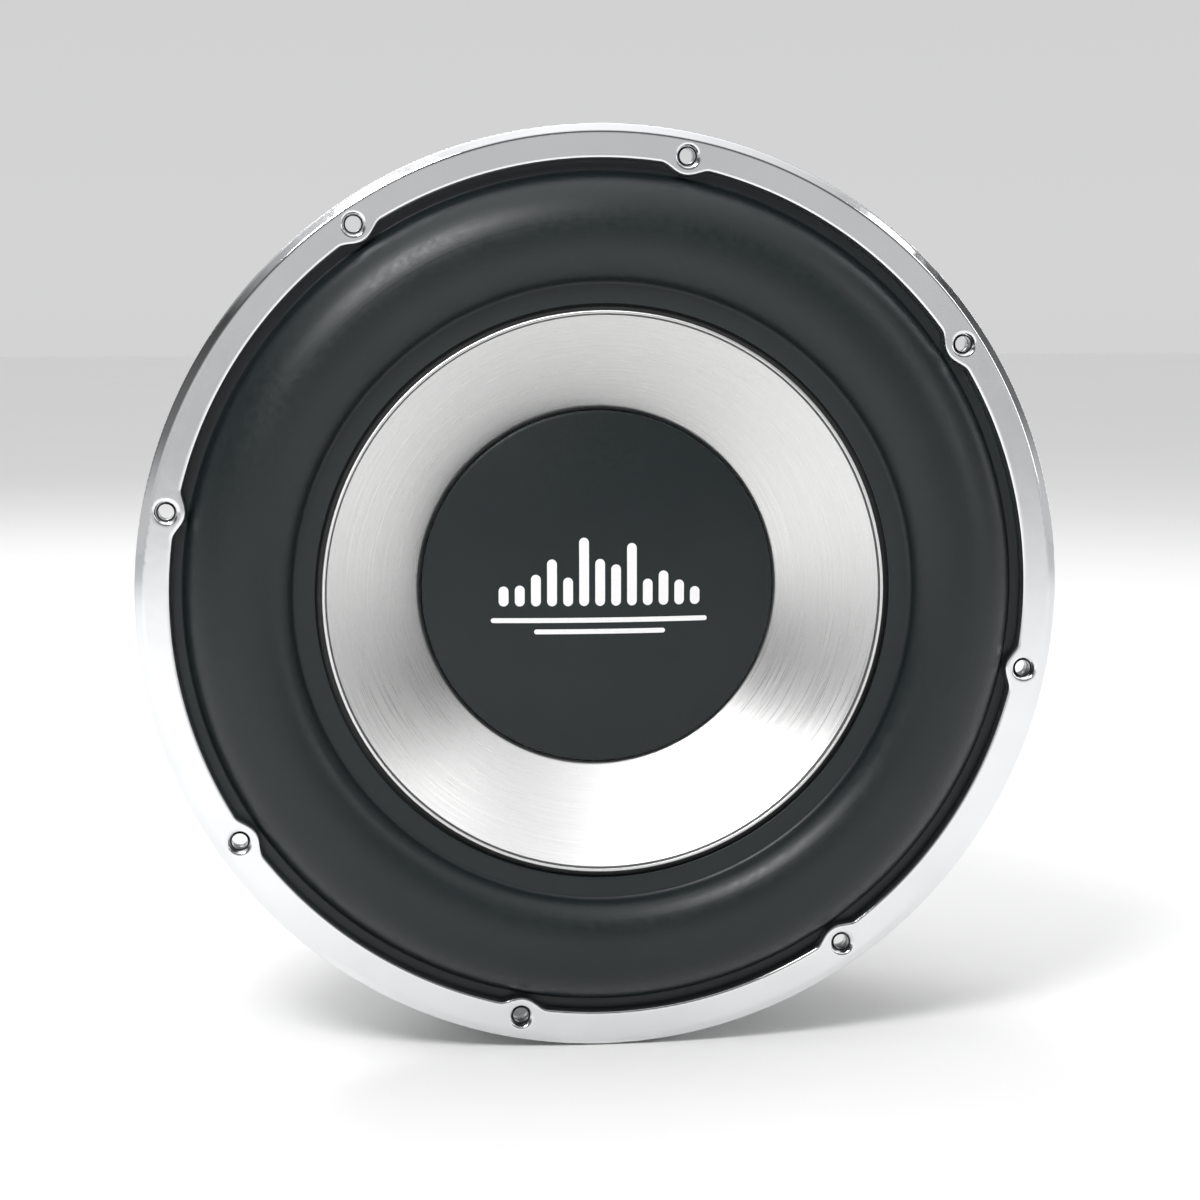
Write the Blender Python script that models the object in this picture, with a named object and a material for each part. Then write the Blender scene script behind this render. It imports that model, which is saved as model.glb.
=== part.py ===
"""A 12 inch car subwoofer driver, built as the separate pieces that it comes apart into.

Blender units are metres. Sizes below are written in millimetres and turned into metres where a mesh is made.
The driver lies along world Y: the cone looks towards -Y and the motor points towards +Y. Every piece is modelled on
an empty whose local Z is the driver's axis, pointing to the rear, with depth 0 at the flange's rear mounting face.
Angles are measured as a person in front of the cone sees them, anticlockwise from the right.
"""

import math

import bmesh
import bpy

MM = 0.001
TURN = 2 * math.pi
GAP = 0.3  # between pieces that touch

# Flange, trim ring and hole pattern
FLANGE_RADIUS = 160.0
FLANGE_FRONT = -5.0
HOLE_COUNT = 8
HOLE_CLOCK = 34.0
HOLE_CIRCLE = 151.7
HOLE_RADIUS = 2.75
TRIM_FRONT = -11.0
TRIM_INNER = 147.8
LUG_RADIUS = 7.0
CUTOUT_RADIUS = 139.5

# Basket
LEG_COUNT = 6
LEG_STEP = 360.0 / LEG_COUNT
LEG_CLOCK = HOLE_CLOCK + 3 * 360.0 / HOLE_COUNT
LEG_DEPTH = 18.0
BAY_HALF_ANGLE = 12.4
PANEL_HALF_ANGLE = 14.5
PANEL_THICKNESS = 5.0
FOOT_TOP = 12.0
BASKET_REAR = 157.0
PLATE_THICKNESS = 8.0
SHROUD_BORE = 68.5
LEDGE_FRONT = 54.0
LEDGE_REAR = 60.0
LEDGE_INNER = 96.0
BAR_FRONT = 52.0
BAR_REAR = 62.5
CHANNEL_WIDTH = 10.7
CHANNEL_DEPTH = 14.0
CHANNEL_START = 86.0
SLOT_WIDTH = 10.7
SLOT_OFFSET = 15.0

# Motor
SCREW_CIRCLE = 79.7
SCREW_RADIUS = 3.0
SCREW_HEAD_RADIUS = 4.6
SCREW_HEAD_HEIGHT = 5.5
VENT_RADIUS = 24.0
POLE_RADIUS = 37.0
POLE_FRONT = 74.0
MAGNET_RADIUS = 85.0
MAGNET_BORE = 46.5
PLATE_RADIUS = 93.0
PLATE_BORE = 42.3
PLATE_FRONT = 77.0
PLATE_REAR = 87.0
YOKE_FRONT = 137.0
YOKE_REAR = BASKET_REAR - PLATE_THICKNESS - GAP

# Moving assembly
CONE_SLOPE = 0.71
CONE_RIM_RADIUS = 97.0
CONE_RIM_DEPTH = -15.1
CONE_THICKNESS = 1.8
FACE_THICKNESS = 1.3
CAP_RADIUS = 61.8
CAP_RISE = 7.0
FORMER_INNER = 37.9
FORMER_OUTER = 38.7
COIL_OUTER = 41.0
COIL_FRONT = 67.0
COIL_REAR = 97.0

# Suspension
ROLL_OUTER = 143.2
ROLL_INNER = 107.0
ROLL_OUTER_DEPTH = -7.1
ROLL_INNER_DEPTH = -15.4
ROLL_RISE = 13.5
SURROUND_THICKNESS = 1.8
SPIDER_OUTER = 104.0
SPIDER_REAR = LEDGE_FRONT - GAP
SPIDER_THICKNESS = 1.2
SPIDER_WAVES = 4
SPIDER_WAVE_RISE = 2.6

# Push terminals, each beside a leg and just outside the top plate
TERMINAL_ANGLES = {"positive": LEG_CLOCK - 35.5, "negative": LEG_CLOCK + 35.5}
TERMINAL_INNER = 94.0
TERMINAL_OUTER = 108.0
TERMINAL_FRONT = 84.0
TERMINAL_REAR = 102.0
TERMINAL_WIDTH = 14.0
BUTTON_RADIUS = 4.2
BUTTON_TRAVEL = 3.0
BUTTON_PROUD = 4.0

WIDE_STEPS = 48
SMALL_STEPS = 24


# ---------------------------------------------------------------- scene and materials

def clear_scene():
    for found in list(bpy.data.objects):
        bpy.data.objects.remove(found)


def make_material(name, colour, roughness, metallic):
    material = bpy.data.materials.new(name)
    material.use_nodes = True
    shader = material.node_tree.nodes["Principled BSDF"]
    shader.inputs["Base Color"].default_value = (*colour, 1.0)
    shader.inputs["Roughness"].default_value = roughness
    shader.inputs["Metallic"].default_value = metallic
    return material


clear_scene()
CHROME = make_material("chrome", (0.80, 0.81, 0.82), 0.08, 1.0)
ALUMINIUM = make_material("brushed_aluminium", (0.78, 0.78, 0.77), 0.35, 1.0)
RUBBER = make_material("surround_rubber", (0.030, 0.036, 0.038), 0.55, 0.0)
PULP = make_material("cone_pulp", (0.020, 0.021, 0.022), 0.80, 0.0)
CAP_PLASTIC = make_material("cap_plastic", (0.028, 0.036, 0.038), 0.40, 0.0)
FERRITE = make_material("ferrite", (0.16, 0.16, 0.165), 0.60, 0.0)
STEEL = make_material("plated_steel", (0.62, 0.62, 0.60), 0.30, 1.0)
COPPER = make_material("copper", (0.72, 0.38, 0.22), 0.35, 1.0)
CLOTH = make_material("spider_cloth", (0.11, 0.11, 0.115), 0.85, 0.0)
KAPTON = make_material("former_film", (0.30, 0.16, 0.05), 0.40, 0.0)
LABEL = make_material("label_film", (0.030, 0.032, 0.036), 0.45, 0.0)
BLOCK_PLASTIC = make_material("terminal_plastic", (0.015, 0.015, 0.016), 0.45, 0.0)
BRASS = make_material("brass", (0.78, 0.60, 0.28), 0.30, 1.0)
FIBRE = make_material("fibre_ring", (0.10, 0.09, 0.08), 0.85, 0.0)

driver_axis = bpy.data.objects.new("driver_axis", None)
driver_axis.rotation_euler = (-math.pi / 2, 0.0, 0.0)
bpy.context.scene.collection.objects.link(driver_axis)


# ---------------------------------------------------------------- geometry helpers

def around(radius, degrees, depth):
    """A point on the driver, in millimetres on its local axes."""
    angle = math.radians(degrees)
    return (radius * math.cos(angle), -radius * math.sin(angle), depth)


def leg_angles():
    return [LEG_CLOCK + LEG_STEP * k for k in range(LEG_COUNT)]


def bay_angles():
    """The middle of each opening between two legs."""
    return [angle + LEG_STEP / 2 for angle in leg_angles()]


def hole_angles():
    return [HOLE_CLOCK + 360.0 / HOLE_COUNT * k for k in range(HOLE_COUNT)]


def skin(mesh, rings, closed):
    """Adds to the mesh a solid whose skin runs through rings of points; open ends are capped."""
    loops = [[mesh.verts.new([c * MM for c in point]) for point in ring] for ring in rings]
    pairs = list(zip(loops, loops[1:]))
    if closed:
        pairs.append((loops[-1], loops[0]))
    for first, second in pairs:
        for i in range(len(first)):
            j = (i + 1) % len(first)
            mesh.faces.new((first[i], first[j], second[j], second[i]))
    if not closed:
        mesh.faces.new(loops[0])
        mesh.faces.new(loops[-1])


def add_object(name, mesh, material=None, parent=driver_axis, location=(0, 0, 0), rotation=(0, 0, 0)):
    """Turns the bmesh into an object under the driver's axis, with its faces pointing out and its ends merged."""
    bmesh.ops.remove_doubles(mesh, verts=mesh.verts, dist=1e-7)
    bmesh.ops.recalc_face_normals(mesh, faces=mesh.faces)
    data = bpy.data.meshes.new(name)
    mesh.to_mesh(data)
    mesh.free()
    data.shade_smooth()
    data.set_sharp_from_angle(angle=math.radians(35))
    if material is not None:
        data.materials.append(material)
    made = bpy.data.objects.new(name, data)
    made.parent = parent
    made.location = [c * MM for c in location]
    made.rotation_euler = rotation
    bpy.context.scene.collection.objects.link(made)
    return made


def as_cutter(made):
    made.hide_render = True
    made.display_type = "WIRE"
    return made


def boolean(target, tool, operation):
    modifier = target.modifiers.new(tool.name, "BOOLEAN")
    modifier.operation = operation
    modifier.solver = "EXACT"
    modifier.object = as_cutter(tool)


def turned_rings(outline, steps, start=0.0, sweep=360.0):
    """Copies of a closed (radius, depth) outline, turned in steps about the axis."""
    count = steps if sweep == 360.0 else steps + 1
    return [
        [around(radius, start + sweep * k / steps, depth) for radius, depth in outline]
        for k in range(count)
    ]


def turned(name, outline, material, steps=SMALL_STEPS, **place):
    mesh = bmesh.new()
    skin(mesh, turned_rings(outline, steps), closed=True)
    return add_object(name, mesh, material, **place)


def ring(name, inner, outer, front, rear, material, steps=SMALL_STEPS):
    outline = [(inner, front), (outer, front), (outer, rear), (inner, rear)]
    return turned(name, outline, material, steps)


def radial_point(angle, out, across, depth):
    """A point given along a direction from the axis, across it and along the driver."""
    turn = math.radians(angle)
    return (
        out * math.cos(turn) + across * math.sin(turn),
        -out * math.sin(turn) + across * math.cos(turn),
        depth,
    )


def add_radial_prism(mesh, angle, outline, near, far):
    """A prism along a direction from the axis; the outline holds (across, depth) points."""
    rings = [[radial_point(angle, out, across, depth) for across, depth in outline] for out in (near, far)]
    skin(mesh, rings, closed=False)


def add_slab(mesh, angle, outline, half_width):
    """A slab in the plane of a direction from the axis; the outline holds (out, depth) points."""
    rings = [
        [radial_point(angle, out, across, depth) for out, depth in outline]
        for across in (-half_width, half_width)
    ]
    skin(mesh, rings, closed=False)


def add_rod(mesh, centre, radius, front, rear, steps=12):
    """A rod along the driver's axis direction, with its centre line through centre."""
    rings = [
        [
            (
                centre[0] + radius * math.cos(TURN * k / steps),
                centre[1] + radius * math.sin(TURN * k / steps),
                depth,
            )
            for k in range(steps)
        ]
        for depth in (front, rear)
    ]
    skin(mesh, rings, closed=False)


def arc_points(centre, radius, start, sweep, count):
    """Points on an arc of a 2-D outline, in degrees, with both ends."""
    return [
        (
            centre[0] + radius * math.cos(math.radians(start + sweep * k / count)),
            centre[1] + radius * math.sin(math.radians(start + sweep * k / count)),
        )
        for k in range(count + 1)
    ]


# ---------------------------------------------------------------- basket

def envelope(depth):
    """The outer radius of the basket's legs, which curve in towards the rear."""
    along = max(depth - FOOT_TOP, 0.0)
    return CUTOUT_RADIUS - 0.5 - 0.1 * along - 0.0011 * along * along


def panel_distance(depth):
    """How far the flat panels between the legs stand from the axis."""
    return envelope(depth) * math.cos(math.radians(PANEL_HALF_ANGLE)) - 0.5


def basket_outline():
    """The turned blank: flange, foot, curved wall, rear plate and the ledge that holds the spider."""
    wall_depths = [FOOT_TOP, 32.0, 56.0, 80.0, 104.0, 128.0, 151.0]
    plate_front = BASKET_REAR - PLATE_THICKNESS
    outer = [(FLANGE_RADIUS, FLANGE_FRONT), (FLANGE_RADIUS, 0.0), (CUTOUT_RADIUS, 0.0)]
    outer += [(envelope(depth), depth) for depth in wall_depths]
    outer += [(envelope(BASKET_REAR) - 3.0, BASKET_REAR)]
    bore = [(SHROUD_BORE, BASKET_REAR), (SHROUD_BORE, plate_front)]
    inner = [(envelope(depth) - LEG_DEPTH, depth) for depth in (plate_front, 120.0, 90.0, LEDGE_REAR)]
    ledge = [(LEDGE_INNER, LEDGE_REAR), (LEDGE_INNER, LEDGE_FRONT)]
    mouth = [(envelope(depth) - LEG_DEPTH, depth) for depth in (LEDGE_FRONT, 26.0)]
    mouth += [(133.5, 8.0), (133.5, FLANGE_FRONT)]
    return outer + bore + inner + ledge + mouth


def bay_pockets():
    """Hollows out the inside between the legs, in front of the ledge and behind it."""
    mesh = bmesh.new()
    half = BAY_HALF_ANGLE
    near, far = FOOT_TOP + 2.0, BASKET_REAR - PLATE_THICKNESS
    behind = [(envelope(z) - PANEL_THICKNESS - 2.5, z) for z in (BAR_REAR, 90.0, 120.0, far)]
    before = [(envelope(z) - PANEL_THICKNESS - 2.5, z) for z in (near, 30.0, BAR_FRONT)]
    for outline in (behind + [(70.0, far), (70.0, BAR_REAR)], before + [(90.0, BAR_FRONT), (90.0, near)]):
        for angle in bay_angles():
            rings = turned_rings(outline, 3, start=angle - half, sweep=2 * half)
            skin(mesh, rings, closed=False)
    return add_object("bay_pockets", mesh)


def panel_flats():
    """Trims the blank to flat panels between the legs."""
    mesh = bmesh.new()
    depths = (16.0, 50.0, 84.0, 118.0, 152.0, 160.0)
    outline = [(panel_distance(z), z) for z in depths] + [(175.0, 160.0), (175.0, 16.0)]
    for angle in bay_angles():
        add_slab(mesh, angle, outline, 27.5)
    return add_object("panel_flats", mesh)


def upper_window_outline():
    """An arched opening, narrower at the rear."""
    arch_half, arch_side, arch_top = 22.6, 123.0, 134.0
    rise = arch_top - arch_side
    radius = (arch_half**2 + rise**2) / (2 * rise)
    reach = math.degrees(math.asin(arch_half / radius))
    arch = arc_points((0.0, arch_top - radius), radius, 90.0 - reach, 2 * reach, 8)
    return [(-26.0, BAR_REAR), (26.0, BAR_REAR)] + arch


def lower_window_outline():
    front = FOOT_TOP + 3.0
    return [(-28.6, front), (28.6, front), (27.4, BAR_FRONT), (-27.4, BAR_FRONT)]


def windows():
    mesh = bmesh.new()
    for angle in bay_angles():
        add_radial_prism(mesh, angle, upper_window_outline(), 100.0, 165.0)
        add_radial_prism(mesh, angle, lower_window_outline(), 106.0, 165.0)
    return add_object("windows", mesh)


def leg_channels():
    """The deep channel down the middle of each leg, whose floor follows the leg's outer curve."""
    mesh = bmesh.new()
    end = BASKET_REAR - PLATE_THICKNESS
    floor = [(envelope(z) - CHANNEL_DEPTH, z) for z in (end, 120.0, CHANNEL_START + 5.0)]
    outline = [(150.0, CHANNEL_START), (150.0, end)] + floor + [(envelope(CHANNEL_START) - 8.0, CHANNEL_START)]
    for angle in leg_angles():
        add_slab(mesh, angle, outline, CHANNEL_WIDTH / 2)
    return add_object("leg_channels", mesh)


def leg_slots():
    """Two slots beside the spine of each leg, crossed by the ledge."""
    mesh = bmesh.new()
    half = SLOT_WIDTH / 2
    front = arc_points((0.0, 17.0 + half), half, 180.0, 180.0, 5) + [(half, LEDGE_FRONT), (-half, LEDGE_FRONT)]
    rear = arc_points((0.0, 87.0 - half), half, 0.0, 180.0, 5) + [(-half, LEDGE_REAR), (half, LEDGE_REAR)]
    for angle in leg_angles():
        for side in (-SLOT_OFFSET, SLOT_OFFSET):
            for outline in (front, rear):
                moved = [(across + side, depth) for across, depth in outline]
                add_radial_prism(mesh, angle, moved, 98.0, 165.0)
    return add_object("leg_slots", mesh)


def basket_holes():
    mesh = bmesh.new()
    for angle in hole_angles():
        add_rod(mesh, around(HOLE_CIRCLE, angle, 0), HOLE_RADIUS, FLANGE_FRONT - 1, 1.0)
    for angle in leg_angles():
        add_rod(mesh, around(SCREW_CIRCLE, angle, 0), SCREW_RADIUS + GAP, 145.0, BASKET_REAR + 2)
    return add_object("basket_holes", mesh)


def make_basket():
    basket = turned("basket", basket_outline(), CHROME, WIDE_STEPS)
    for cutter in (bay_pockets(), panel_flats(), windows(), leg_channels(), leg_slots(), basket_holes()):
        boolean(basket, cutter, "DIFFERENCE")


def make_trim_ring():
    """The polished ring over the surround's outer edge, with a lug at each mounting hole."""
    rebate = FLANGE_FRONT - 2.1
    bottom = FLANGE_FRONT - GAP
    outline = [
        (FLANGE_RADIUS, bottom), (FLANGE_RADIUS, TRIM_FRONT + 1.5), (FLANGE_RADIUS - 1.5, TRIM_FRONT),
        (TRIM_INNER + 1.0, TRIM_FRONT), (TRIM_INNER, TRIM_FRONT + 0.8), (TRIM_INNER, rebate),
        (HOLE_CIRCLE - HOLE_RADIUS - GAP, rebate), (HOLE_CIRCLE - HOLE_RADIUS - GAP, bottom),
    ]
    trim = turned("trim_ring", outline, CHROME, WIDE_STEPS)
    lugs = bmesh.new()
    holes = bmesh.new()
    for angle in hole_angles():
        add_rod(lugs, around(HOLE_CIRCLE, angle, 0), LUG_RADIUS, TRIM_FRONT + 0.6, rebate, steps=16)
        add_rod(holes, around(HOLE_CIRCLE, angle, 0), HOLE_RADIUS, TRIM_FRONT - 2, 0.0)
    boolean(trim, add_object("trim_lugs", lugs), "UNION")
    boolean(trim, add_object("trim_holes", holes), "DIFFERENCE")


# ---------------------------------------------------------------- moving assembly

def cone_front(radius):
    """The depth of the cone's front surface."""
    return CONE_RIM_DEPTH + (CONE_RIM_RADIUS - radius) * CONE_SLOPE


def make_cone():
    neck = FORMER_OUTER + GAP
    lip = ROLL_INNER_DEPTH + SURROUND_THICKNESS + GAP
    front = [(ROLL_INNER - 0.4, lip), (CONE_RIM_RADIUS + 1.8, lip)]
    front += [(CONE_RIM_RADIUS, cone_front(CONE_RIM_RADIUS)), (70.0, cone_front(70.0)), (neck, cone_front(neck))]
    rear = [(neck, cone_front(neck) + 4.0), (neck + 1.8, cone_front(neck) + 4.0)]
    rear += [(70.0, cone_front(70.0) + 2.2), (CONE_RIM_RADIUS, lip + CONE_THICKNESS + 1.0)]
    rear += [(ROLL_INNER - 0.4, lip + CONE_THICKNESS)]
    turned("cone_body", front + rear, PULP, WIDE_STEPS)


def make_cone_face():
    """The dished aluminium plate on the cone's front, with a small rolled rim."""
    outer, inner = CONE_RIM_RADIUS, CAP_RADIUS - 1.8
    middle = (outer + inner) / 2
    front = [(r, cone_front(r) - FACE_THICKNESS - GAP) for r in (inner, middle, outer - 0.8)]
    rim = [(outer, cone_front(outer) - FACE_THICKNESS), (outer, cone_front(outer) - GAP)]
    rear = [(r, cone_front(r) - GAP) for r in (middle, inner)]
    turned("cone_face", front + rim + rear, ALUMINIUM, WIDE_STEPS)


def make_dust_cap():
    """A shallow dome glued over the inner edge of the cone's face."""
    rim_rear = cone_front(CAP_RADIUS) - FACE_THICKNESS - 2 * GAP
    thickness = 1.4
    mesh = bmesh.new()
    spread = [0.0, 0.4, 0.75, 1.0]

    def dome(share, lift):
        return (share * CAP_RADIUS, rim_rear - lift - CAP_RISE * (1 - share**2))

    outline = [dome(share, thickness) for share in spread] + [dome(share, 0.0) for share in reversed(spread)]
    skin(mesh, turned_rings(outline, SMALL_STEPS), closed=True)
    bmesh.ops.dissolve_degenerate(mesh, dist=1e-7, edges=mesh.edges)
    add_object("dust_cap", mesh, CAP_PLASTIC)


def make_voice_coil():
    front = cone_front(FORMER_OUTER) + 1.0
    ring("voice_coil_former", FORMER_INNER, FORMER_OUTER, front, COIL_REAR, KAPTON)
    ring("voice_coil_winding", FORMER_OUTER + GAP, COIL_OUTER, COIL_FRONT, COIL_REAR - 1.0, COPPER)


# ---------------------------------------------------------------- suspension

def make_surround():
    """A half roll, higher at its inner foot, between the trim ring and the cone's lip."""
    centre = (ROLL_OUTER + ROLL_INNER) / 2
    half = (ROLL_OUTER - ROLL_INNER) / 2
    rows = 6

    def roll(share, inset):
        turn = math.pi * share
        base = ROLL_OUTER_DEPTH + (ROLL_INNER_DEPTH - ROLL_OUTER_DEPTH) * share
        return (
            centre + (half - inset) * math.cos(turn),
            base + inset * (1.0 - math.sin(turn)) - (ROLL_RISE - inset) * math.sin(turn),
        )

    thick = SURROUND_THICKNESS
    outer_foot = HOLE_CIRCLE - HOLE_RADIUS - 2 * GAP
    inner_foot = CONE_RIM_RADIUS + 2.0
    front = [(outer_foot, ROLL_OUTER_DEPTH)] + [roll(k / rows, 0.0) for k in range(rows + 1)]
    front += [(inner_foot, ROLL_INNER_DEPTH)]
    rear = [(outer_foot, ROLL_OUTER_DEPTH + thick)] + [roll(k / rows, thick) for k in range(rows + 1)]
    rear += [(inner_foot, ROLL_INNER_DEPTH + thick)]
    turned("surround", front + rear[::-1], RUBBER, WIDE_STEPS)


def make_spider():
    """A corrugated cloth disc from the ledge to the voice coil former, and the ring that clamps its edge."""
    neck = FORMER_OUTER + GAP
    inner, outer = neck + 4.0, LEDGE_INNER - 2.0
    waves = [
        (
            outer + (inner - outer) * k / (2 * SPIDER_WAVES),
            SPIDER_REAR + SPIDER_WAVE_RISE * (0 if k in (0, 2 * SPIDER_WAVES) else (-1) ** k),
        )
        for k in range(2 * SPIDER_WAVES + 1)
    ]
    rear = [(SPIDER_OUTER, SPIDER_REAR)] + waves + [(neck, SPIDER_REAR)]
    front = [(radius, depth - SPIDER_THICKNESS) for radius, depth in reversed(rear)]
    turned("spider", rear + front, CLOTH, SMALL_STEPS)
    clamp_rear = SPIDER_REAR - SPIDER_THICKNESS - GAP
    ring("spider_clamp_ring", LEDGE_INNER + 1.0, SPIDER_OUTER, clamp_rear - 3.0, clamp_rear, FIBRE)


# ---------------------------------------------------------------- motor

def make_motor():
    yoke = [
        (VENT_RADIUS + 4.0, POLE_FRONT), (POLE_RADIUS, POLE_FRONT), (POLE_RADIUS, YOKE_FRONT),
        (MAGNET_RADIUS, YOKE_FRONT), (MAGNET_RADIUS, YOKE_REAR), (SHROUD_BORE - 0.8, YOKE_REAR),
        (SHROUD_BORE - 0.8, 154.7), (43.0, 154.7), (43.0, 158.5), (VENT_RADIUS + 2.0, 158.5),
        (VENT_RADIUS + 2.0, 154.0), (VENT_RADIUS, 154.0), (VENT_RADIUS, POLE_FRONT + 8.0),
    ]
    back = turned("back_plate_and_pole", yoke, STEEL, SMALL_STEPS)
    holes = bmesh.new()
    for angle in leg_angles():
        add_rod(holes, around(SCREW_CIRCLE, angle, 0), SCREW_RADIUS + GAP, YOKE_FRONT + 1.5, YOKE_REAR + 2)
    boolean(back, add_object("yoke_holes", holes), "DIFFERENCE")

    middle = (PLATE_REAR + YOKE_FRONT) / 2
    ring("front_magnet", MAGNET_BORE, MAGNET_RADIUS, PLATE_REAR + GAP, middle - GAP / 2, FERRITE)
    ring("rear_magnet", MAGNET_BORE, MAGNET_RADIUS, middle + GAP / 2, YOKE_FRONT - GAP, FERRITE)
    ring("top_plate", PLATE_BORE, PLATE_RADIUS, PLATE_FRONT, PLATE_REAR, STEEL, WIDE_STEPS)
    ring("shorting_ring", POLE_RADIUS + GAP, PLATE_BORE + 1.2, 118.0, YOKE_FRONT - GAP, ALUMINIUM)

    bezel = [
        (VENT_RADIUS + GAP, 154.3), (VENT_RADIUS + 1.7, 154.3), (VENT_RADIUS + 1.7, 158.8),
        (28.8, 158.8), (28.8, 159.8), (27.0, 161.2), (VENT_RADIUS + 1.4, 160.6), (VENT_RADIUS + GAP, 159.2),
    ]
    turned("vent_bezel", bezel, CHROME)
    ring("rear_label_ring", 29.2, 42.2, 158.8, 159.6, LABEL)


def make_screw(index, angle):
    """A socket cap screw through the basket's rear plate into the back plate."""
    head_rear = BASKET_REAR + GAP + SCREW_HEAD_HEIGHT
    outline = [
        (0.0, YOKE_FRONT + 2.5), (SCREW_RADIUS, YOKE_FRONT + 2.5), (SCREW_RADIUS, BASKET_REAR + GAP),
        (SCREW_HEAD_RADIUS, BASKET_REAR + GAP), (SCREW_HEAD_RADIUS, head_rear - 0.7),
        (SCREW_HEAD_RADIUS - 0.7, head_rear), (2.4, head_rear), (2.4, head_rear - 2.8), (0.0, head_rear - 2.8),
    ]
    turned(f"motor_screw_{index}", outline, CHROME, 12, location=around(SCREW_CIRCLE, angle, 0))


# ---------------------------------------------------------------- push terminals

def terminal_seat(angle):
    """An empty on the driver's axis whose local X points out to the terminal."""
    seat = bpy.data.objects.new("terminal_seat", None)
    seat.parent = driver_axis
    seat.rotation_euler = (0.0, 0.0, -math.radians(angle))
    bpy.context.scene.collection.objects.link(seat)
    return seat


def add_cross_rings(mesh, stations, depth, steps=12):
    """A solid turned about a line that runs out from the axis at a depth; stations hold (out, radius)."""
    rings = [
        [
            (out, radius * math.cos(TURN * k / steps), depth + radius * math.sin(TURN * k / steps))
            for k in range(steps)
        ]
        for out, radius in stations
    ]
    skin(mesh, rings, closed=False)


def coil_spring(name, start, end, depth, parent):
    """A compression spring along the terminal's own axis."""
    turns, per_turn, sides = 3.5, 8, 5
    wire, radius = 0.3, 3.1
    count = int(turns * per_turn)
    mesh = bmesh.new()
    rings = []
    for k in range(count + 1):
        turn = TURN * k / per_turn
        out = start + wire + (end - start - 2 * wire) * k / count
        section = []
        for side in range(sides):
            lean = TURN * side / sides
            reach = radius + wire * math.cos(lean)
            section.append((out + wire * math.sin(lean), reach * math.cos(turn), depth + reach * math.sin(turn)))
        rings.append(section)
    skin(mesh, rings, closed=False)
    add_object(name, mesh, STEEL, parent=parent)


def make_terminal(polarity, angle):
    seat = terminal_seat(angle)
    depth = (TERMINAL_FRONT + TERMINAL_REAR) / 2
    bore_end = TERMINAL_INNER + 2.0
    bore_radius = BUTTON_RADIUS + GAP
    half = TERMINAL_WIDTH / 2

    block_mesh = bmesh.new()
    chamfer = 1.5
    outline = [
        (TERMINAL_INNER, TERMINAL_FRONT), (TERMINAL_OUTER - chamfer, TERMINAL_FRONT),
        (TERMINAL_OUTER, TERMINAL_FRONT + chamfer), (TERMINAL_OUTER, TERMINAL_REAR - chamfer),
        (TERMINAL_OUTER - chamfer, TERMINAL_REAR), (TERMINAL_INNER, TERMINAL_REAR),
    ]
    skin(block_mesh, [[(out, side, z) for out, z in outline] for side in (-half, half)], closed=False)
    block = add_object(f"terminal_block_{polarity}", block_mesh, BLOCK_PLASTIC, parent=seat)

    bore = bmesh.new()
    add_cross_rings(bore, [(bore_end, bore_radius), (TERMINAL_OUTER + 2, bore_radius)], depth)
    boolean(block, add_object(f"button_bore_{polarity}", bore, parent=seat), "DIFFERENCE")
    wire_hole = bmesh.new()
    wire_out = TERMINAL_OUTER - 4.5
    add_rod(wire_hole, (wire_out, 0.0), 1.6, TERMINAL_FRONT - 2, TERMINAL_REAR + 2, steps=8)
    boolean(block, add_object(f"wire_hole_{polarity}", wire_hole, parent=seat), "DIFFERENCE")

    button_in = bore_end + 5.2
    button_out = TERMINAL_OUTER + BUTTON_PROUD
    stations = [(button_in, BUTTON_RADIUS), (button_out - 0.8, BUTTON_RADIUS), (button_out, BUTTON_RADIUS - 0.8)]
    button_mesh = bmesh.new()
    add_cross_rings(button_mesh, stations, depth)
    button = add_object(f"terminal_button_{polarity}", button_mesh, CHROME, parent=seat)
    eye = bmesh.new()
    add_rod(eye, (wire_out + BUTTON_TRAVEL, 0.0), 1.6, TERMINAL_FRONT, TERMINAL_REAR, steps=8)
    boolean(button, add_object(f"button_eye_{polarity}", eye, parent=seat), "DIFFERENCE")

    coil_spring(f"terminal_spring_{polarity}", bore_end + GAP, button_in - GAP, depth, seat)
    make_solder_tag(polarity, seat)


def make_solder_tag(polarity, seat):
    """A brass tag under the block, where the flexible lead is soldered."""
    tag = bmesh.new()
    rear = TERMINAL_FRONT - GAP
    outline = [(95.4, rear), (101.0, rear), (101.0, rear - 0.9), (97.6, rear - 0.9), (97.6, 74.0), (96.6, 74.0)]
    outline += [(96.6, rear - 0.9), (95.4, rear - 0.9)]
    skin(tag, [[(out, side, z) for out, z in outline] for side in (-2.0, 2.0)], closed=False)
    add_object(f"solder_tag_{polarity}", tag, BRASS, parent=seat)


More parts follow.
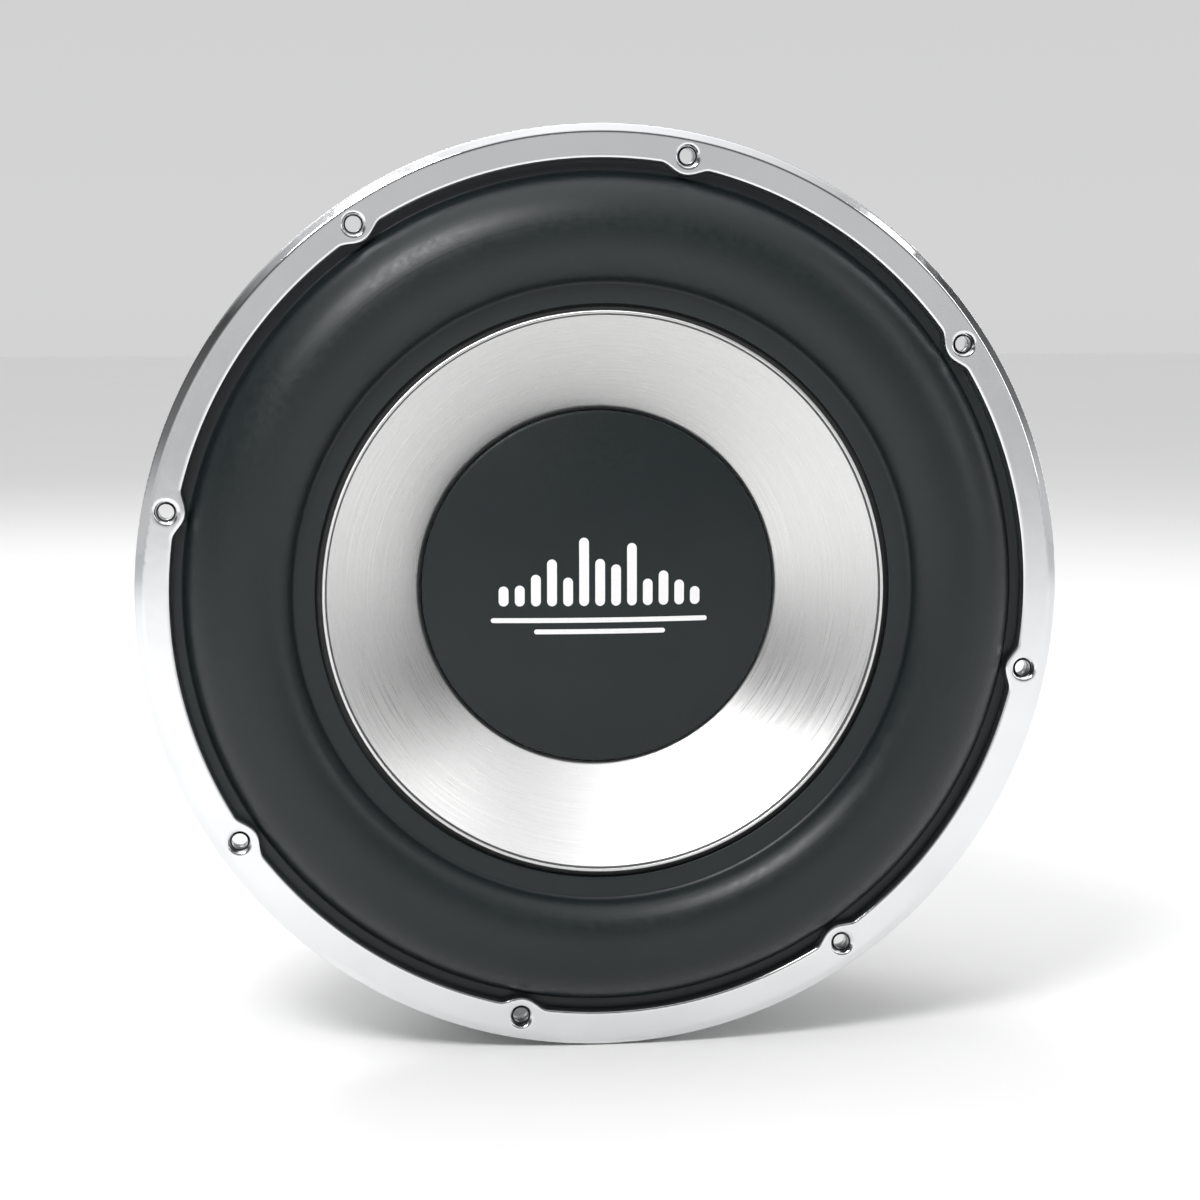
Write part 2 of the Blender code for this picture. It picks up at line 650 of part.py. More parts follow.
def make_tinsel_lead(polarity, angle):
    """The braided lead from the solder tag to the former, sewn along the spider's rear side."""
    route = [(95.5, 75.0), (94.6, 71.0), (92.6, 66.5), (89.0, 62.5), (83.5, 60.0), (77.0, 58.7), (70.0, 58.1)]
    route += [(62.0, 57.9), (54.0, 57.9), (47.0, 58.1), (41.2, 58.6)]
    curve = bpy.data.curves.new(f"tinsel_lead_{polarity}", "CURVE")
    curve.dimensions = "3D"
    curve.bevel_depth = 0.9 * MM
    curve.bevel_resolution = 1
    curve.use_fill_caps = True
    spline = curve.splines.new("POLY")
    spline.points.add(len(route) - 1)
    for point, (radius, depth) in zip(spline.points, route):
        point.co = (*[c * MM for c in around(radius, angle, depth)], 1.0)
    curve.materials.append(COPPER)
    lead = bpy.data.objects.new(f"tinsel_lead_{polarity}", curve)
    lead.parent = driver_axis
    bpy.context.scene.collection.objects.link(lead)


# ---------------------------------------------------------------- the whole driver

make_basket()
make_trim_ring()
make_cone()
make_cone_face()
make_dust_cap()
make_voice_coil()
make_surround()
make_spider()
make_motor()
for screw_index, screw_angle in enumerate(leg_angles(), start=1):
    make_screw(screw_index, screw_angle)
for terminal_polarity, terminal_angle in TERMINAL_ANGLES.items():
    make_terminal(terminal_polarity, terminal_angle)
    make_tinsel_lead(terminal_polarity, terminal_angle)
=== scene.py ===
"""The look of a 12 inch car subwoofer driver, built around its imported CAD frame.

The driver lies along world Y with its cone towards -Y. Sizes are in millimetres until a mesh is made: a
radius or a distance out from the axis, and a depth along Y from the flange's rear face. Angles are seen from
the front, anticlockwise from the right.
"""

import math

import bpy
import numpy as np
import openvdb
from mathutils import Matrix, Vector


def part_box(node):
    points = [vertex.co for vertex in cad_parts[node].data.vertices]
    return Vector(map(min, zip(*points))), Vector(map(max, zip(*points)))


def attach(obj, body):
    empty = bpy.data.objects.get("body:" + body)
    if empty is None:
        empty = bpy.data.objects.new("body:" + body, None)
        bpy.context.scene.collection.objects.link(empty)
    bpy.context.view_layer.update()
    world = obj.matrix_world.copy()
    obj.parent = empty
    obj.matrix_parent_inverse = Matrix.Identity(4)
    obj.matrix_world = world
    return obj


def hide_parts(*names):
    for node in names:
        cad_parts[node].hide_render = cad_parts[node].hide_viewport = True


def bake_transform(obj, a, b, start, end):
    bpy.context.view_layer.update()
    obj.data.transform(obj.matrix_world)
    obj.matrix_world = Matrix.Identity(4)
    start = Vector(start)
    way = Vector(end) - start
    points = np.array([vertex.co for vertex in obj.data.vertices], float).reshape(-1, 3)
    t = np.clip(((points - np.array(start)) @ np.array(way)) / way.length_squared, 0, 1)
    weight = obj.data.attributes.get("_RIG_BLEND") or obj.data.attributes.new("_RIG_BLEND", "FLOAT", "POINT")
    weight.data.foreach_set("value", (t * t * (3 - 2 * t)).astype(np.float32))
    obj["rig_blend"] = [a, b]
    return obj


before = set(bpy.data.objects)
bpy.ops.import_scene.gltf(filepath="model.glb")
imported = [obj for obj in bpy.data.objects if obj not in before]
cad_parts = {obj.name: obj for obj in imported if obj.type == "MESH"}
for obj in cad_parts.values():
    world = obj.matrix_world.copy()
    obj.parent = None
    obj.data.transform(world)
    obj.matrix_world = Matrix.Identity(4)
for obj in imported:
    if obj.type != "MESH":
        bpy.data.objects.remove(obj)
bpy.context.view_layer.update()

MM = 0.001
TURN = 2 * math.pi

# Sizes read from the frame
FLANGE_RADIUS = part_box("basket")[1].x / MM
BASKET_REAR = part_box("basket")[1].y / MM
TRIM_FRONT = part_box("trim_ring")[0].y / MM
MAGNET_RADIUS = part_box("front_magnet")[1].x / MM
PLATE_FRONT, PLATE_REAR = (corner.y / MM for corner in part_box("top_plate"))
SPIDER_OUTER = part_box("spider_clamp_ring")[1].x / MM

# Sizes shared with the CAD design
HOLE_COUNT, HOLE_CLOCK, HOLE_CIRCLE, HOLE_RADIUS = 8, 34.0, 151.7, 2.75
LEG_COUNT, SCREW_CIRCLE = 6, 79.7
LEG_CLOCK = HOLE_CLOCK + 3 * 360.0 / HOLE_COUNT
TERMINALS = {"positive": LEG_CLOCK - 35.5, "negative": LEG_CLOCK + 35.5}
FOOT_RADIUS, FOOT_INNER, FOOT_TOP = 139.5, 133.5, 12.0
LEG_DEPTH, CHANNEL_DEPTH, PANEL_HALF_ANGLE, PANEL_THICKNESS = 18.0, 14.0, 14.5, 5.0
BAR_FRONT, BAR_REAR, WINDOW_FRONT, ARCH_TOP = 52.0, 62.5, 15.0, 134.0
PLATE_THICKNESS, SHROUD_BORE = 8.0, 68.5
LEDGE_FRONT, LEDGE_REAR, LEDGE_INNER = 54.0, 60.0, 96.0
CONE_SLOPE, CONE_RIM, CONE_RIM_DEPTH = 0.71, 97.0, -15.1
FACE_THICKNESS, GAP = 1.3, 0.3
CAP_RADIUS, CAP_RISE = 61.8, 7.0
FORMER_INNER, FORMER_OUTER = 37.9, 38.7
COIL_FRONT, COIL_REAR, COIL_OUTER = 67.0, 96.0, 41.0
ROLL_OUTER, ROLL_INNER, ROLL_RISE = 143.2, 107.0, 13.5
ROLL_OUTER_DEPTH, ROLL_INNER_DEPTH, SURROUND_THICKNESS = -7.1, -15.4, 1.8
SURROUND_FOOT = 148.35
SPIDER_REAR, SPIDER_THICKNESS, SPIDER_RISE = 53.7, 1.2, 2.6
YOKE_FRONT, POLE_FRONT, POLE_RADIUS, VENT_RADIUS = 137.0, 74.0, 37.0, 24.0


# ---------------- materials

# The first share marks painted shade: deep in the basket's grooves and on the walls of the trim ring's screw
# holes
PAINTED_SHADE_SHARE, INSIDE_SHARE = "painted_shade_share", "inside_share"
MOVING = "moving_assembly"


class Shader:
    """A Principled material whose added nodes work in millimetres on the piece."""

    def __init__(self, name, colour, roughness, metallic=0.0, fixed=None):
        self.material = bpy.data.materials.new(name)
        self.material.use_nodes = True
        self.nodes = self.material.node_tree.nodes
        self.links = self.material.node_tree.links
        self.surface = self.nodes["Principled BSDF"].inputs
        self.surface["Base Color"].default_value = (*colour, 1.0)
        self.surface["Roughness"].default_value = roughness
        self.surface["Metallic"].default_value = metallic
        for socket, value in (fixed or {}).items():
            self.surface[socket].default_value = value
        self.normal = None
        self.place = self.scaled_place(1.0)

    def add(self, kind, inputs=None, **settings):
        node = self.nodes.new("ShaderNode" + kind)
        for key, value in settings.items():
            setattr(node, key, value)
        for key, value in (inputs or {}).items():
            self.feed(node.inputs[key], value)
        return node

    def feed(self, socket, value):
        if isinstance(value, bpy.types.NodeSocket):
            self.links.new(value, socket)
        else:
            socket.default_value = value

    def scaled_place(self, scale):
        """Object coordinates in millimetres; scale is one number or one for each axis."""
        factors = np.broadcast_to(np.asarray(scale, float) / MM, 3).tolist()
        here = self.add("TexCoord").outputs["Object"]
        return self.add("Mapping", {"Vector": here, "Scale": factors}).outputs["Vector"]

    def maths(self, operation, *values):
        return self.add("Math", dict(enumerate(values)), operation=operation).outputs[0]

    def times(self, first, second):
        return self.maths("MULTIPLY", first, second)

    def wave(self, value, pitch):
        return self.maths("SINE", self.times(value, TURN / pitch))

    def axes(self):
        return self.add("SeparateXYZ", {"Vector": self.place}).outputs

    def radius(self):
        x, _, z = self.axes()
        return self.maths("SQRT", self.maths("ADD", self.times(x, x), self.times(z, z)))

    def ring_place(self, along, across):
        """Coordinates that change slowly round the driver's axis and fast across it."""
        x, _, z = self.axes()
        radius = self.radius()
        parts = {
            "X": self.times(self.maths("DIVIDE", x, radius), along),
            "Y": self.times(radius, across),
            "Z": self.times(self.maths("DIVIDE", z, radius), along),
        }
        return self.add("CombineXYZ", parts).outputs[0]

    def noise(self, scale, detail=3.0, roughness=0.55, place=None):
        inputs = {"Vector": place or self.place, "Scale": scale, "Detail": detail, "Roughness": roughness}
        return self.add("TexNoise", inputs).outputs["Fac"]

    def ranged(self, value, from_low, from_high, low, high):
        names = ("Value", "From Min", "From Max", "To Min", "To Max")
        inputs = dict(zip(names, (value, from_low, from_high, low, high)))
        return self.add("MapRange", inputs).outputs["Result"]

    def mixed(self, factor, first, second):
        node = self.add("Mix", {0: factor}, data_type="RGBA")
        for socket, value in zip((s for s in node.inputs if s.type == "RGBA"), (first, second)):
            self.feed(socket, (*value, 1.0) if isinstance(value, tuple) else value)
        return next(s for s in node.outputs if s.type == "RGBA")

    def colours(self, factor, first, second):
        self.feed(self.surface["Base Color"], self.mixed(factor, first, second))

    def roughen(self, factor, low, high, from_low=0.3, from_high=0.7):
        self.feed(self.surface["Roughness"], self.ranged(factor, from_low, from_high, low, high))

    def bump(self, height, rise):
        """Raises the surface by up to rise millimetres, over the bumps that are there."""
        inputs = {"Height": height, "Distance": rise * MM}
        if self.normal:
            inputs["Normal"] = self.normal
        self.normal = self.add("Bump", inputs).outputs["Normal"]
        self.feed(self.surface["Normal"], self.normal)

    def mottled(self, clouds, tones, grain, gloss, texture, rise):
        """The material, once three noises mix its two tones, set its roughness and raise its bumps."""
        self.colours(self.noise(*clouds), *tones)
        self.roughen(self.noise(*grain), *gloss)
        self.bump(self.noise(*texture), rise)
        return self.material


def casting_material():
    """Polished and plated aluminium: satin inside and on the rear face, with painted shade, near black, deep
    in its grooves.
    """
    metal = Shader("plated_casting", (0.75, 0.76, 0.77), 0.1, 1.0)
    deep = metal.add("Attribute", attribute_name=PAINTED_SHADE_SHARE).outputs["Fac"]
    inside = metal.add("Attribute", attribute_name=INSIDE_SHARE).outputs["Fac"]
    rear_face = metal.ranged(metal.axes()[1], BASKET_REAR - 0.9, BASKET_REAR - 0.2, 0.0, 1.0)
    flange = metal.ranged(metal.radius(), FOOT_RADIUS + 1.0, FOOT_RADIUS + 4.0, 0.0, 0.6)
    satin = metal.maths("MAXIMUM", rear_face, flange)
    broad = metal.noise(0.035, 2.0)
    plated = metal.mixed(broad, (0.63, 0.645, 0.66), (0.77, 0.775, 0.78))
    faced = metal.mixed(satin, plated, (0.43, 0.45, 0.46))
    cast = metal.mixed(inside, faced, (0.80, 0.81, 0.82))
    # painted shade: deep in the leg channels and slits the casting turns near black, duller and not metallic
    metal.colours(deep, cast, (0.012, 0.012, 0.013))
    polish = metal.ranged(metal.noise(0.16, 4.0, 0.6), 0.3, 0.75, 0.09, 0.17)
    duller = metal.maths("ADD", metal.times(satin, 0.26), metal.times(inside, 0.34))
    duller = metal.maths("ADD", duller, metal.times(deep, 0.3))
    metal.feed(metal.surface["Roughness"], metal.maths("ADD", polish, duller))
    metal.feed(metal.surface["Metallic"], metal.maths("SUBTRACT", 1.0, deep))
    metal.bump(metal.noise(0.09, 2.0), 0.04)
    metal.bump(metal.noise(1.4, 3.0), 0.003)
    return metal.material


def chrome_material():
    """Bright chrome, with painted shade, near black, inside a bore."""
    metal = Shader("chrome", (0.76, 0.77, 0.78), 0.06, 1.0)
    deep = metal.add("Attribute", attribute_name=PAINTED_SHADE_SHARE).outputs["Fac"]
    cloud = metal.noise(0.05, 2.0)
    bright = metal.mixed(cloud, (0.71, 0.72, 0.735), (0.80, 0.805, 0.81))
    # painted shade: near black where the shade share is set, on the walls of the trim ring's screw holes
    metal.colours(deep, bright, (0.04, 0.04, 0.042))
    metal.roughen(metal.noise(0.2, 4.0, 0.6), 0.03, 0.11)
    metal.bump(metal.noise(0.07, 2.0), 0.035)
    return metal.material


def spun_aluminium_material():
    """Aluminium brushed round the axis, so that light spreads into radial fans."""
    metal = Shader("brushed_aluminium", (0.88, 0.88, 0.875), 0.30, 1.0, {"Anisotropic": 0.82})
    streaks = metal.noise(1.0, 4.0, 0.7, metal.ring_place(3.0, 7.0))
    long_streaks = metal.noise(1.0, 2.0, 0.5, metal.ring_place(0.9, 1.6))
    metal.colours(streaks, (0.62, 0.62, 0.615), (0.84, 0.84, 0.835))
    metal.roughen(metal.maths("ADD", streaks, metal.times(long_streaks, 0.3)), 0.22, 0.40, 0.4, 0.9)
    metal.bump(streaks, 0.0035)
    metal.feed(metal.surface["Tangent"], metal.add("Tangent", direction_type="RADIAL", axis="Y").outputs[0])
    return metal.material


def rubber_material():
    """Butyl rubber with a fine moulded grain and a faint bloom."""
    rubber = Shader("surround_rubber", (0.014, 0.017, 0.018), 0.5, 0.0, {"Specular IOR Level": 0.40})
    bloom = rubber.noise(0.03, 4.0, 0.6)
    rubber.colours(bloom, (0.006, 0.0100, 0.0108), (0.011, 0.0160, 0.0170))
    rubber.roughen(rubber.noise(0.4, 5.0, 0.6), 0.32, 0.44)
    rubber.bump(rubber.noise(2.6, 3.0, 0.6), 0.035)
    rubber.bump(rubber.noise(1.0, 2.0, 0.5, rubber.ring_place(0.6, 0.9)), 0.03)
    return rubber.material


def cap_material():
    """Satin moulded cap with a very fine spark-eroded grain."""
    cap = Shader("cap_plastic", (0.010, 0.014, 0.015), 0.42, 0.0, {"Specular IOR Level": 0.36})
    tones = (0.005, 0.009, 0.010), (0.009, 0.014, 0.015)
    return cap.mottled((0.05, 3.0), tones, (1.1, 4.0, 0.65), (0.36, 0.48), (3.5, 2.0), 0.010)


def pulp_material():
    """Pressed paper pulp: matted fibres in black."""
    sheen = {"Sheen Weight": 0.08, "Sheen Roughness": 0.5}
    pulp = Shader("cone_pulp", (0.020, 0.021, 0.022), 0.85, 0.0, sheen)
    fibres = pulp.noise(1.0, 5.0, 0.75, pulp.scaled_place((0.5, 1.6, 2.4)))
    crossed = pulp.noise(1.0, 5.0, 0.75, pulp.scaled_place((2.4, 1.6, 0.5)))
    both = pulp.maths("MAXIMUM", fibres, crossed)
    matted = pulp.ranged(both, 0.45, 0.75, 0.0, 1.0)
    pulp.colours(matted, (0.011, 0.0115, 0.012), (0.040, 0.041, 0.042))
    pulp.roughen(both, 0.72, 0.95)
    pulp.bump(both, 0.22)
    return pulp.material


def ferrite_material():
    """Ground ceramic magnet, grey under a fine mesh of crossed grinding marks."""
    stone = Shader("ferrite", (0.36, 0.355, 0.375), 0.5, 0.0, {"Specular IOR Level": 0.6})
    x, depth, z = stone.axes()
    turn = stone.times(stone.maths("ARCTAN2", z, x), MAGNET_RADIUS)
    pitch = 1.5
    marks = stone.times(stone.wave(depth, pitch), stone.wave(turn, pitch))
    mesh = stone.ranged(marks, -0.6, 0.6, 0.0, 1.0)
    grain = stone.noise(3.0, 4.0, 0.7)
    worn = stone.times(mesh, stone.ranged(stone.noise(0.12, 4.0), 0.3, 0.7, 0.5, 1.0))
    stone.colours(worn, (0.25, 0.245, 0.265), (0.47, 0.46, 0.485))
    stone.roughen(grain, 0.38, 0.62)
    stone.bump(mesh, 0.05)
    stone.bump(grain, 0.02)
    return stone.material


def steel_material():
    """Zinc plated steel, turned, with a yellow passivated finish inside the vent."""
    steel = Shader("plated_steel", (0.62, 0.62, 0.60), 0.3, 1.0)
    cloud = steel.noise(0.12, 4.0, 0.6)
    bright = steel.mixed(cloud, (0.50, 0.505, 0.515), (0.60, 0.605, 0.61))
    olive = steel.mixed(cloud, (0.40, 0.38, 0.27), (0.60, 0.57, 0.43))
    inside = steel.ranged(steel.radius(), VENT_RADIUS + 1.0, VENT_RADIUS + 2.5, 1.0, 0.0)
    steel.feed(steel.surface["Base Color"], steel.mixed(inside, bright, olive))
    turned_marks = steel.noise(1.0, 3.0, 0.6, steel.ring_place(2.0, 4.0))
    steel.roughen(steel.maths("ADD", turned_marks, steel.times(inside, 0.5)), 0.34, 0.48, 0.3, 0.9)
    steel.feed(steel.surface["Metallic"], steel.ranged(inside, 0.0, 1.0, 1.0, 0.7))
    steel.bump(turned_marks, 0.003)
    return steel.material


def winding_material():
    """Enamelled copper wire, wound side by side."""
    wire = Shader("copper", (0.62, 0.28, 0.13), 0.32, 1.0, {"Coat Weight": 0.5, "Coat Roughness": 0.12})
    pitch = 0.55
    rows = wire.wave(wire.axes()[1], pitch)
    wire.colours(wire.noise(0.3, 3.0), (0.50, 0.21, 0.09), (0.74, 0.37, 0.19))
    wire.roughen(wire.noise(1.5, 3.0), 0.24, 0.40)
    wire.bump(wire.maths("ABSOLUTE", rows), 0.12)
    return wire.material


def braid_material():
    braid = Shader("tinned_braid", (0.66, 0.42, 0.26), 0.35, 1.0)
    tones = (0.48, 0.27, 0.15), (0.80, 0.58, 0.40)
    return braid.mottled((1.8, 3.0), tones, (2.5, 3.0), (0.25, 0.5), (6.0, 2.0), 0.05)


def cloth_material():
    """Resin-dipped woven cloth."""
    sheen = {"Sheen Weight": 0.15, "Sheen Roughness": 0.4}
    cloth = Shader("spider_cloth", (0.10, 0.10, 0.105), 0.8, 0.0, sheen)
    pitch = 1.1
    x, _, z = cloth.axes()
    weave = cloth.ranged(cloth.times(cloth.wave(x, pitch), cloth.wave(z, pitch)), -1.0, 1.0, 0.0, 1.0)
    dye = cloth.noise(0.05, 4.0)
    cloth.colours(cloth.times(weave, dye), (0.28, 0.282, 0.29), (0.66, 0.665, 0.68))
    cloth.roughen(dye, 0.68, 0.88)
    cloth.bump(weave, 0.14)
    return cloth.material


def film_material():
    coat = {"Coat Weight": 0.4, "Coat Roughness": 0.15}
    film = Shader("former_film", (0.32, 0.17, 0.05), 0.35, 0.0, coat)
    tones = (0.24, 0.12, 0.035), (0.40, 0.22, 0.07)
    return film.mottled((0.08, 3.0), tones, (0.6, 3.0), (0.28, 0.42), (0.5, 2.0), 0.02)


def label_material():
    label = Shader("label_film", (0.010, 0.011, 0.012), 0.5, 0.0, {"Specular IOR Level": 0.3})
    tones = (0.008, 0.0085, 0.0095), (0.014, 0.0145, 0.016)
    return label.mottled((0.12, 3.0), tones, (0.9, 4.0), (0.42, 0.58), (0.35, 3.0), 0.02)


def ink_material():
    tone = 0.86
    ink = Shader("white_ink", (tone,) * 3, 0.5)
    tones = (tone * 0.9,) * 3, (tone,) * 3
    return ink.mottled((0.9, 4.0), tones, (2.0, 3.0), (0.42, 0.58), (4.0, 2.0), 0.006)


def moulded_material():
    """Glass-filled black terminal plastic."""
    plastic = Shader("terminal_plastic", (0.013, 0.013, 0.014), 0.45)
    tones = (0.010, 0.010, 0.011), (0.022, 0.022, 0.024)
    return plastic.mottled((1.2, 4.0), tones, (2.0, 4.0), (0.36, 0.56), (3.2, 3.0), 0.02)


def brass_material():
    brass = Shader("brass", (0.78, 0.60, 0.28), 0.3, 1.0)
    tones = (0.62, 0.45, 0.19), (0.84, 0.68, 0.36)
    return brass.mottled((0.8, 4.0), tones, (1.6, 4.0), (0.22, 0.42), (1.2, 3.0), 0.01)


def fibre_material():
    fibre = Shader("fibre_ring", (0.10, 0.085, 0.07), 0.85)
    strands = fibre.noise(1.0, 5.0, 0.7, fibre.scaled_place((3.0, 0.8, 0.8)))
    fibre.colours(strands, (0.05, 0.042, 0.035), (0.17, 0.14, 0.11))
    fibre.roughen(strands, 0.78, 0.94)
    fibre.bump(strands, 0.12)
    return fibre.material


CASTING = casting_material()
CHROME = chrome_material()
SPUN = spun_aluminium_material()
RUBBER = rubber_material()
CAP = cap_material()
PULP = pulp_material()
FERRITE = ferrite_material()
STEEL = steel_material()
COPPER = winding_material()
BRAID = braid_material()
CLOTH = cloth_material()
FILM = film_material()
LABEL = label_material()
WHITE_INK = ink_material()
PLASTIC = moulded_material()
BRASS = brass_material()
FIBRE = fibre_material()


# ---------------- meshes

def new_piece(name, points, faces, material, smooth_angle=40.0):
    """An object from points in millimetres and faces that list them."""
    data = bpy.data.meshes.new(name)
    data.from_pydata((np.asarray(points, float) * MM).tolist(), [], faces)
    data.validate()
    data.shade_smooth()
    data.set_sharp_from_angle(angle=math.radians(smooth_angle))
    data.materials.append(material)
    made = bpy.data.objects.new(name, data)
    bpy.context.scene.collection.objects.link(made)
    return made


def settle(piece, slot, *nodes, body="frame"):
    """The piece moves with its body and stands for its CAD nodes, which it hides. The slot is not used."""
    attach(piece, body)
    if nodes:
        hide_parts(*nodes)


def fill_share(piece, name, share):
    """Stores a number from 0 to 1 at each point of the piece, from a function of its points."""
    stored = piece.data.attributes.get(name) or piece.data.attributes.new(name, "FLOAT", "POINT")
    points = np.array([vertex.co for vertex in piece.data.vertices]) / MM
    stored.data.foreach_set("value", share(points).astype(np.float32))


def settle_flexible(piece, node, weight, body=MOVING):
    """The piece bends between the frame and a body, by a weight worked out from its points."""
    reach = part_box(node)
    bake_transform(piece, "frame", body, start=reach[0], end=reach[1])
    fill_share(piece, "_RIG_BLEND", weight)
    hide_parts(node)


def smooth_step(value):
    share = np.clip(value, 0.0, 1.0)
    return share * share * (3 - 2 * share)


def around(radius, degrees, depth):
    angle = math.radians(degrees)
    return (radius * math.cos(angle), depth, radius * math.sin(angle))


def leg_angles():
    return [LEG_CLOCK + 360.0 / LEG_COUNT * k for k in range(LEG_COUNT)]


def rounded(corners, steps=4):
    """A closed outline from (radius, depth, fillet) corners, where the fillet may be left out."""
    outline = []
    for i, (*here, fillet) in enumerate((*corner, 0.0)[:3] for corner in corners):
        here = np.array(here, float)
        if fillet == 0.0:
            outline.append(tuple(here))
            continue
        before = np.array(corners[i - 1][:2], float) - here
        after = np.array(corners[(i + 1) % len(corners)][:2], float) - here
        before /= np.linalg.norm(before)
        after /= np.linalg.norm(after)
        half = math.acos(float(np.clip(before @ after, -1, 1))) / 2
        middle = (before + after) / np.linalg.norm(before + after)
        centre = here + middle * fillet / math.sin(half)
        start = here + before * fillet / math.tan(half) - centre
        end = here + after * fillet / math.tan(half) - centre
        sweep = math.atan2(start[0] * end[1] - start[1] * end[0], float(start @ end))
        for k in range(steps + 1):
            c, s = math.cos(sweep * k / steps), math.sin(sweep * k / steps)
            outline.append(tuple(centre + (c * start[0] - s * start[1], s * start[0] + c * start[1])))
    return outline


def edged_ring(inner, outer, front, rear, edge):
    return rounded([(inner, front, edge), (outer, front, edge), (outer, rear, edge), (inner, rear, edge)])


def skin(faces, loops, closed=False):
    """Adds the faces between neighbouring loops of point numbers, and fills the ends of an open row.

    A loop may be one point; the others have the same number of points."""
    for first, second in zip(loops, loops[1:] + loops[:closed]):
        steps = max(len(first), len(second))
        for k in range(steps if steps > 1 else 0):
            after = (k + 1) % steps
            corners = ((first, k), (first, after), (second, after), (second, k))
            faces.append(tuple(dict.fromkeys(loop[i % len(loop)] for loop, i in corners)))
    if not closed:
        faces += [tuple(loops[0])[::-1], tuple(loops[-1])]


def turned(name, outline, material, steps=240, smooth_angle=40.0):
    """A closed (radius, depth) outline turned about the Y axis; a third number counts flat sides there."""
    pairs = zip(outline, outline[1:] + outline[:1])
    area = sum(a[0] * b[1] - b[0] * a[1] for a, b in pairs)
    points, loops, faces = [], [], []
    for radius, depth, *flats in outline if area > 0 else outline[::-1]:
        count = 1 if radius < 1e-6 else steps
        loops.append([len(points) + k for k in range(count)])
        half = 180.0 / flats[0] if flats else 0.0
        for k in range(count):
            angle = 360.0 * k / steps
            lean = math.radians((angle + half) % (2 * half) - half) if flats else 0.0
            points.append(around(max(radius, 0.0) / math.cos(lean), angle, depth))
    skin(faces, loops, closed=True)
    return new_piece(name, points, faces, material, smooth_angle)


def tube(name, path, radius, material, sides=12, braid=0.0):
    """A round tube with closed ends along a path; braid raises crossed strands, as a share of the radius."""
    path = np.asarray(path, float)
    along = np.gradient(path, axis=0)
    along /= np.linalg.norm(along, axis=1)[:, None]
    side = np.cross(along[0], (0.0, 0.0, 1.0))
    if np.linalg.norm(side) < 0.1:
        side = np.cross(along[0], (0.0, 1.0, 0.0))
    travelled = np.concatenate([[0.0], np.cumsum(np.linalg.norm(np.diff(path, axis=0), axis=1))])
    points = []
    for centre, direction, length in zip(path, along, travelled):
        side = side - direction * (side @ direction)
        side /= np.linalg.norm(side)
        up = np.cross(direction, side)
        for k in range(sides):
            lean = TURN * k / sides
            strand = math.sin(3 * lean + 2.6 * length) * math.sin(3 * lean - 2.6 * length)
            reach = radius * (1.0 + braid * strand)
            points.append(centre + reach * (math.cos(lean) * side + math.sin(lean) * up))
    faces = []
    skin(faces, np.arange(len(points)).reshape(-1, sides).tolist())
    return new_piece(name, points, faces, material, 60.0)


def smooth_route(stops, step):
    """Points every step millimetres on a smooth curve through the stops."""
    stops = np.asarray(stops, float)
    padded = np.vstack([2 * stops[0] - stops[1], stops, 2 * stops[-1] - stops[-2]])
    route = []
    for p0, p1, p2, p3 in zip(padded, padded[1:], padded[2:], padded[3:]):
        count = max(2, round(float(np.linalg.norm(p2 - p1)) / step))
        for t in np.arange(count)[:, None] / count:
            bend = (2 * p0 - 5 * p1 + 4 * p2 - p3) * t**2 + (3 * p1 - p0 - 3 * p2 + p3) * t**3
            route.append(p1 + 0.5 * ((p2 - p0) * t + bend))
    return np.array(route + [stops[-1]])


# ---------------- solids from distance fields

def joined(a, b, fillet):
    """The union of two distance fields, with a round fillet in the crease."""
    crease = np.hypot(np.maximum(fillet - a, 0), np.maximum(fillet - b, 0))
    return np.maximum(fillet, np.minimum(a, b)) - crease


def common(a, b, edge):
    """Where both fields are solid, with a rounded edge."""
    return np.minimum(-edge, np.maximum(a, b)) + np.hypot(np.maximum(edge + a, 0), np.maximum(edge + b, 0))


def cut(a, b, edge):
    return common(a, -b, edge)


def slab(value, low, high):
    return np.abs(value - (low + high) / 2) - (high - low) / 2


def folded(x, z, clock, count):
    """(distance across, distance out) from the nearest of count directions."""
    step = TURN / count
    angle = np.arctan2(z, x) - math.radians(clock)
    angle = np.abs((angle + step / 2) % step - step / 2)
    radius = np.hypot(x, z)
    return radius * np.sin(angle), radius * np.cos(angle)


def solid(name, field, low, high, voxel, material):
    """The surface where field(x, y, z) is 0, in millimetres, as quads whose points are settled on it."""
    voxel = voxel * 1.0
    xs, ys, zs = (np.arange(low[i], high[i] + voxel, voxel) for i in range(3))
    x, z = np.meshgrid(xs, zs, indexing="ij")
    band = 3 * voxel
    values = np.empty((len(xs), len(ys), len(zs)), np.float32)
    for j, y in enumerate(ys):
        values[:, j, :] = np.clip(field(x, y, z), -band, band)
    grid = openvdb.FloatGrid(band)
    grid.copyFromArray(values)
    points, quads = grid.convertToQuads(isovalue=0.0)
    points = points.astype(float) * voxel + (xs[0], ys[0], zs[0])
    for _ in range(4):
        value = field(*points.T)
        slope = np.stack([field(*(points + 0.02 * axis).T) - value for axis in np.eye(3)], axis=1) / 0.02
        shift = -(value / np.maximum((slope**2).sum(axis=1), 0.25))[:, None] * slope
        points += np.clip(shift, -voxel / 2, voxel / 2)
    corners = points[quads]
    if np.einsum("ij,ij->", corners[:, 0], np.cross(corners[:, 1], corners[:, 2])) < 0:
        quads = quads[:, ::-1]
    return new_piece(name, points, quads.tolist(), material, 180.0)


# ---------------- basket and trim ring

def envelope(depth):
    """The outer radius of the basket's legs."""
    along = np.maximum(depth - FOOT_TOP, 0.0)
    return FOOT_RADIUS - 0.5 - 0.1 * along - 0.0011 * along * along


def leg_edge(depth):
    """Half of a leg's width."""
    return 32.2 - 9.7 * depth / BASKET_REAR


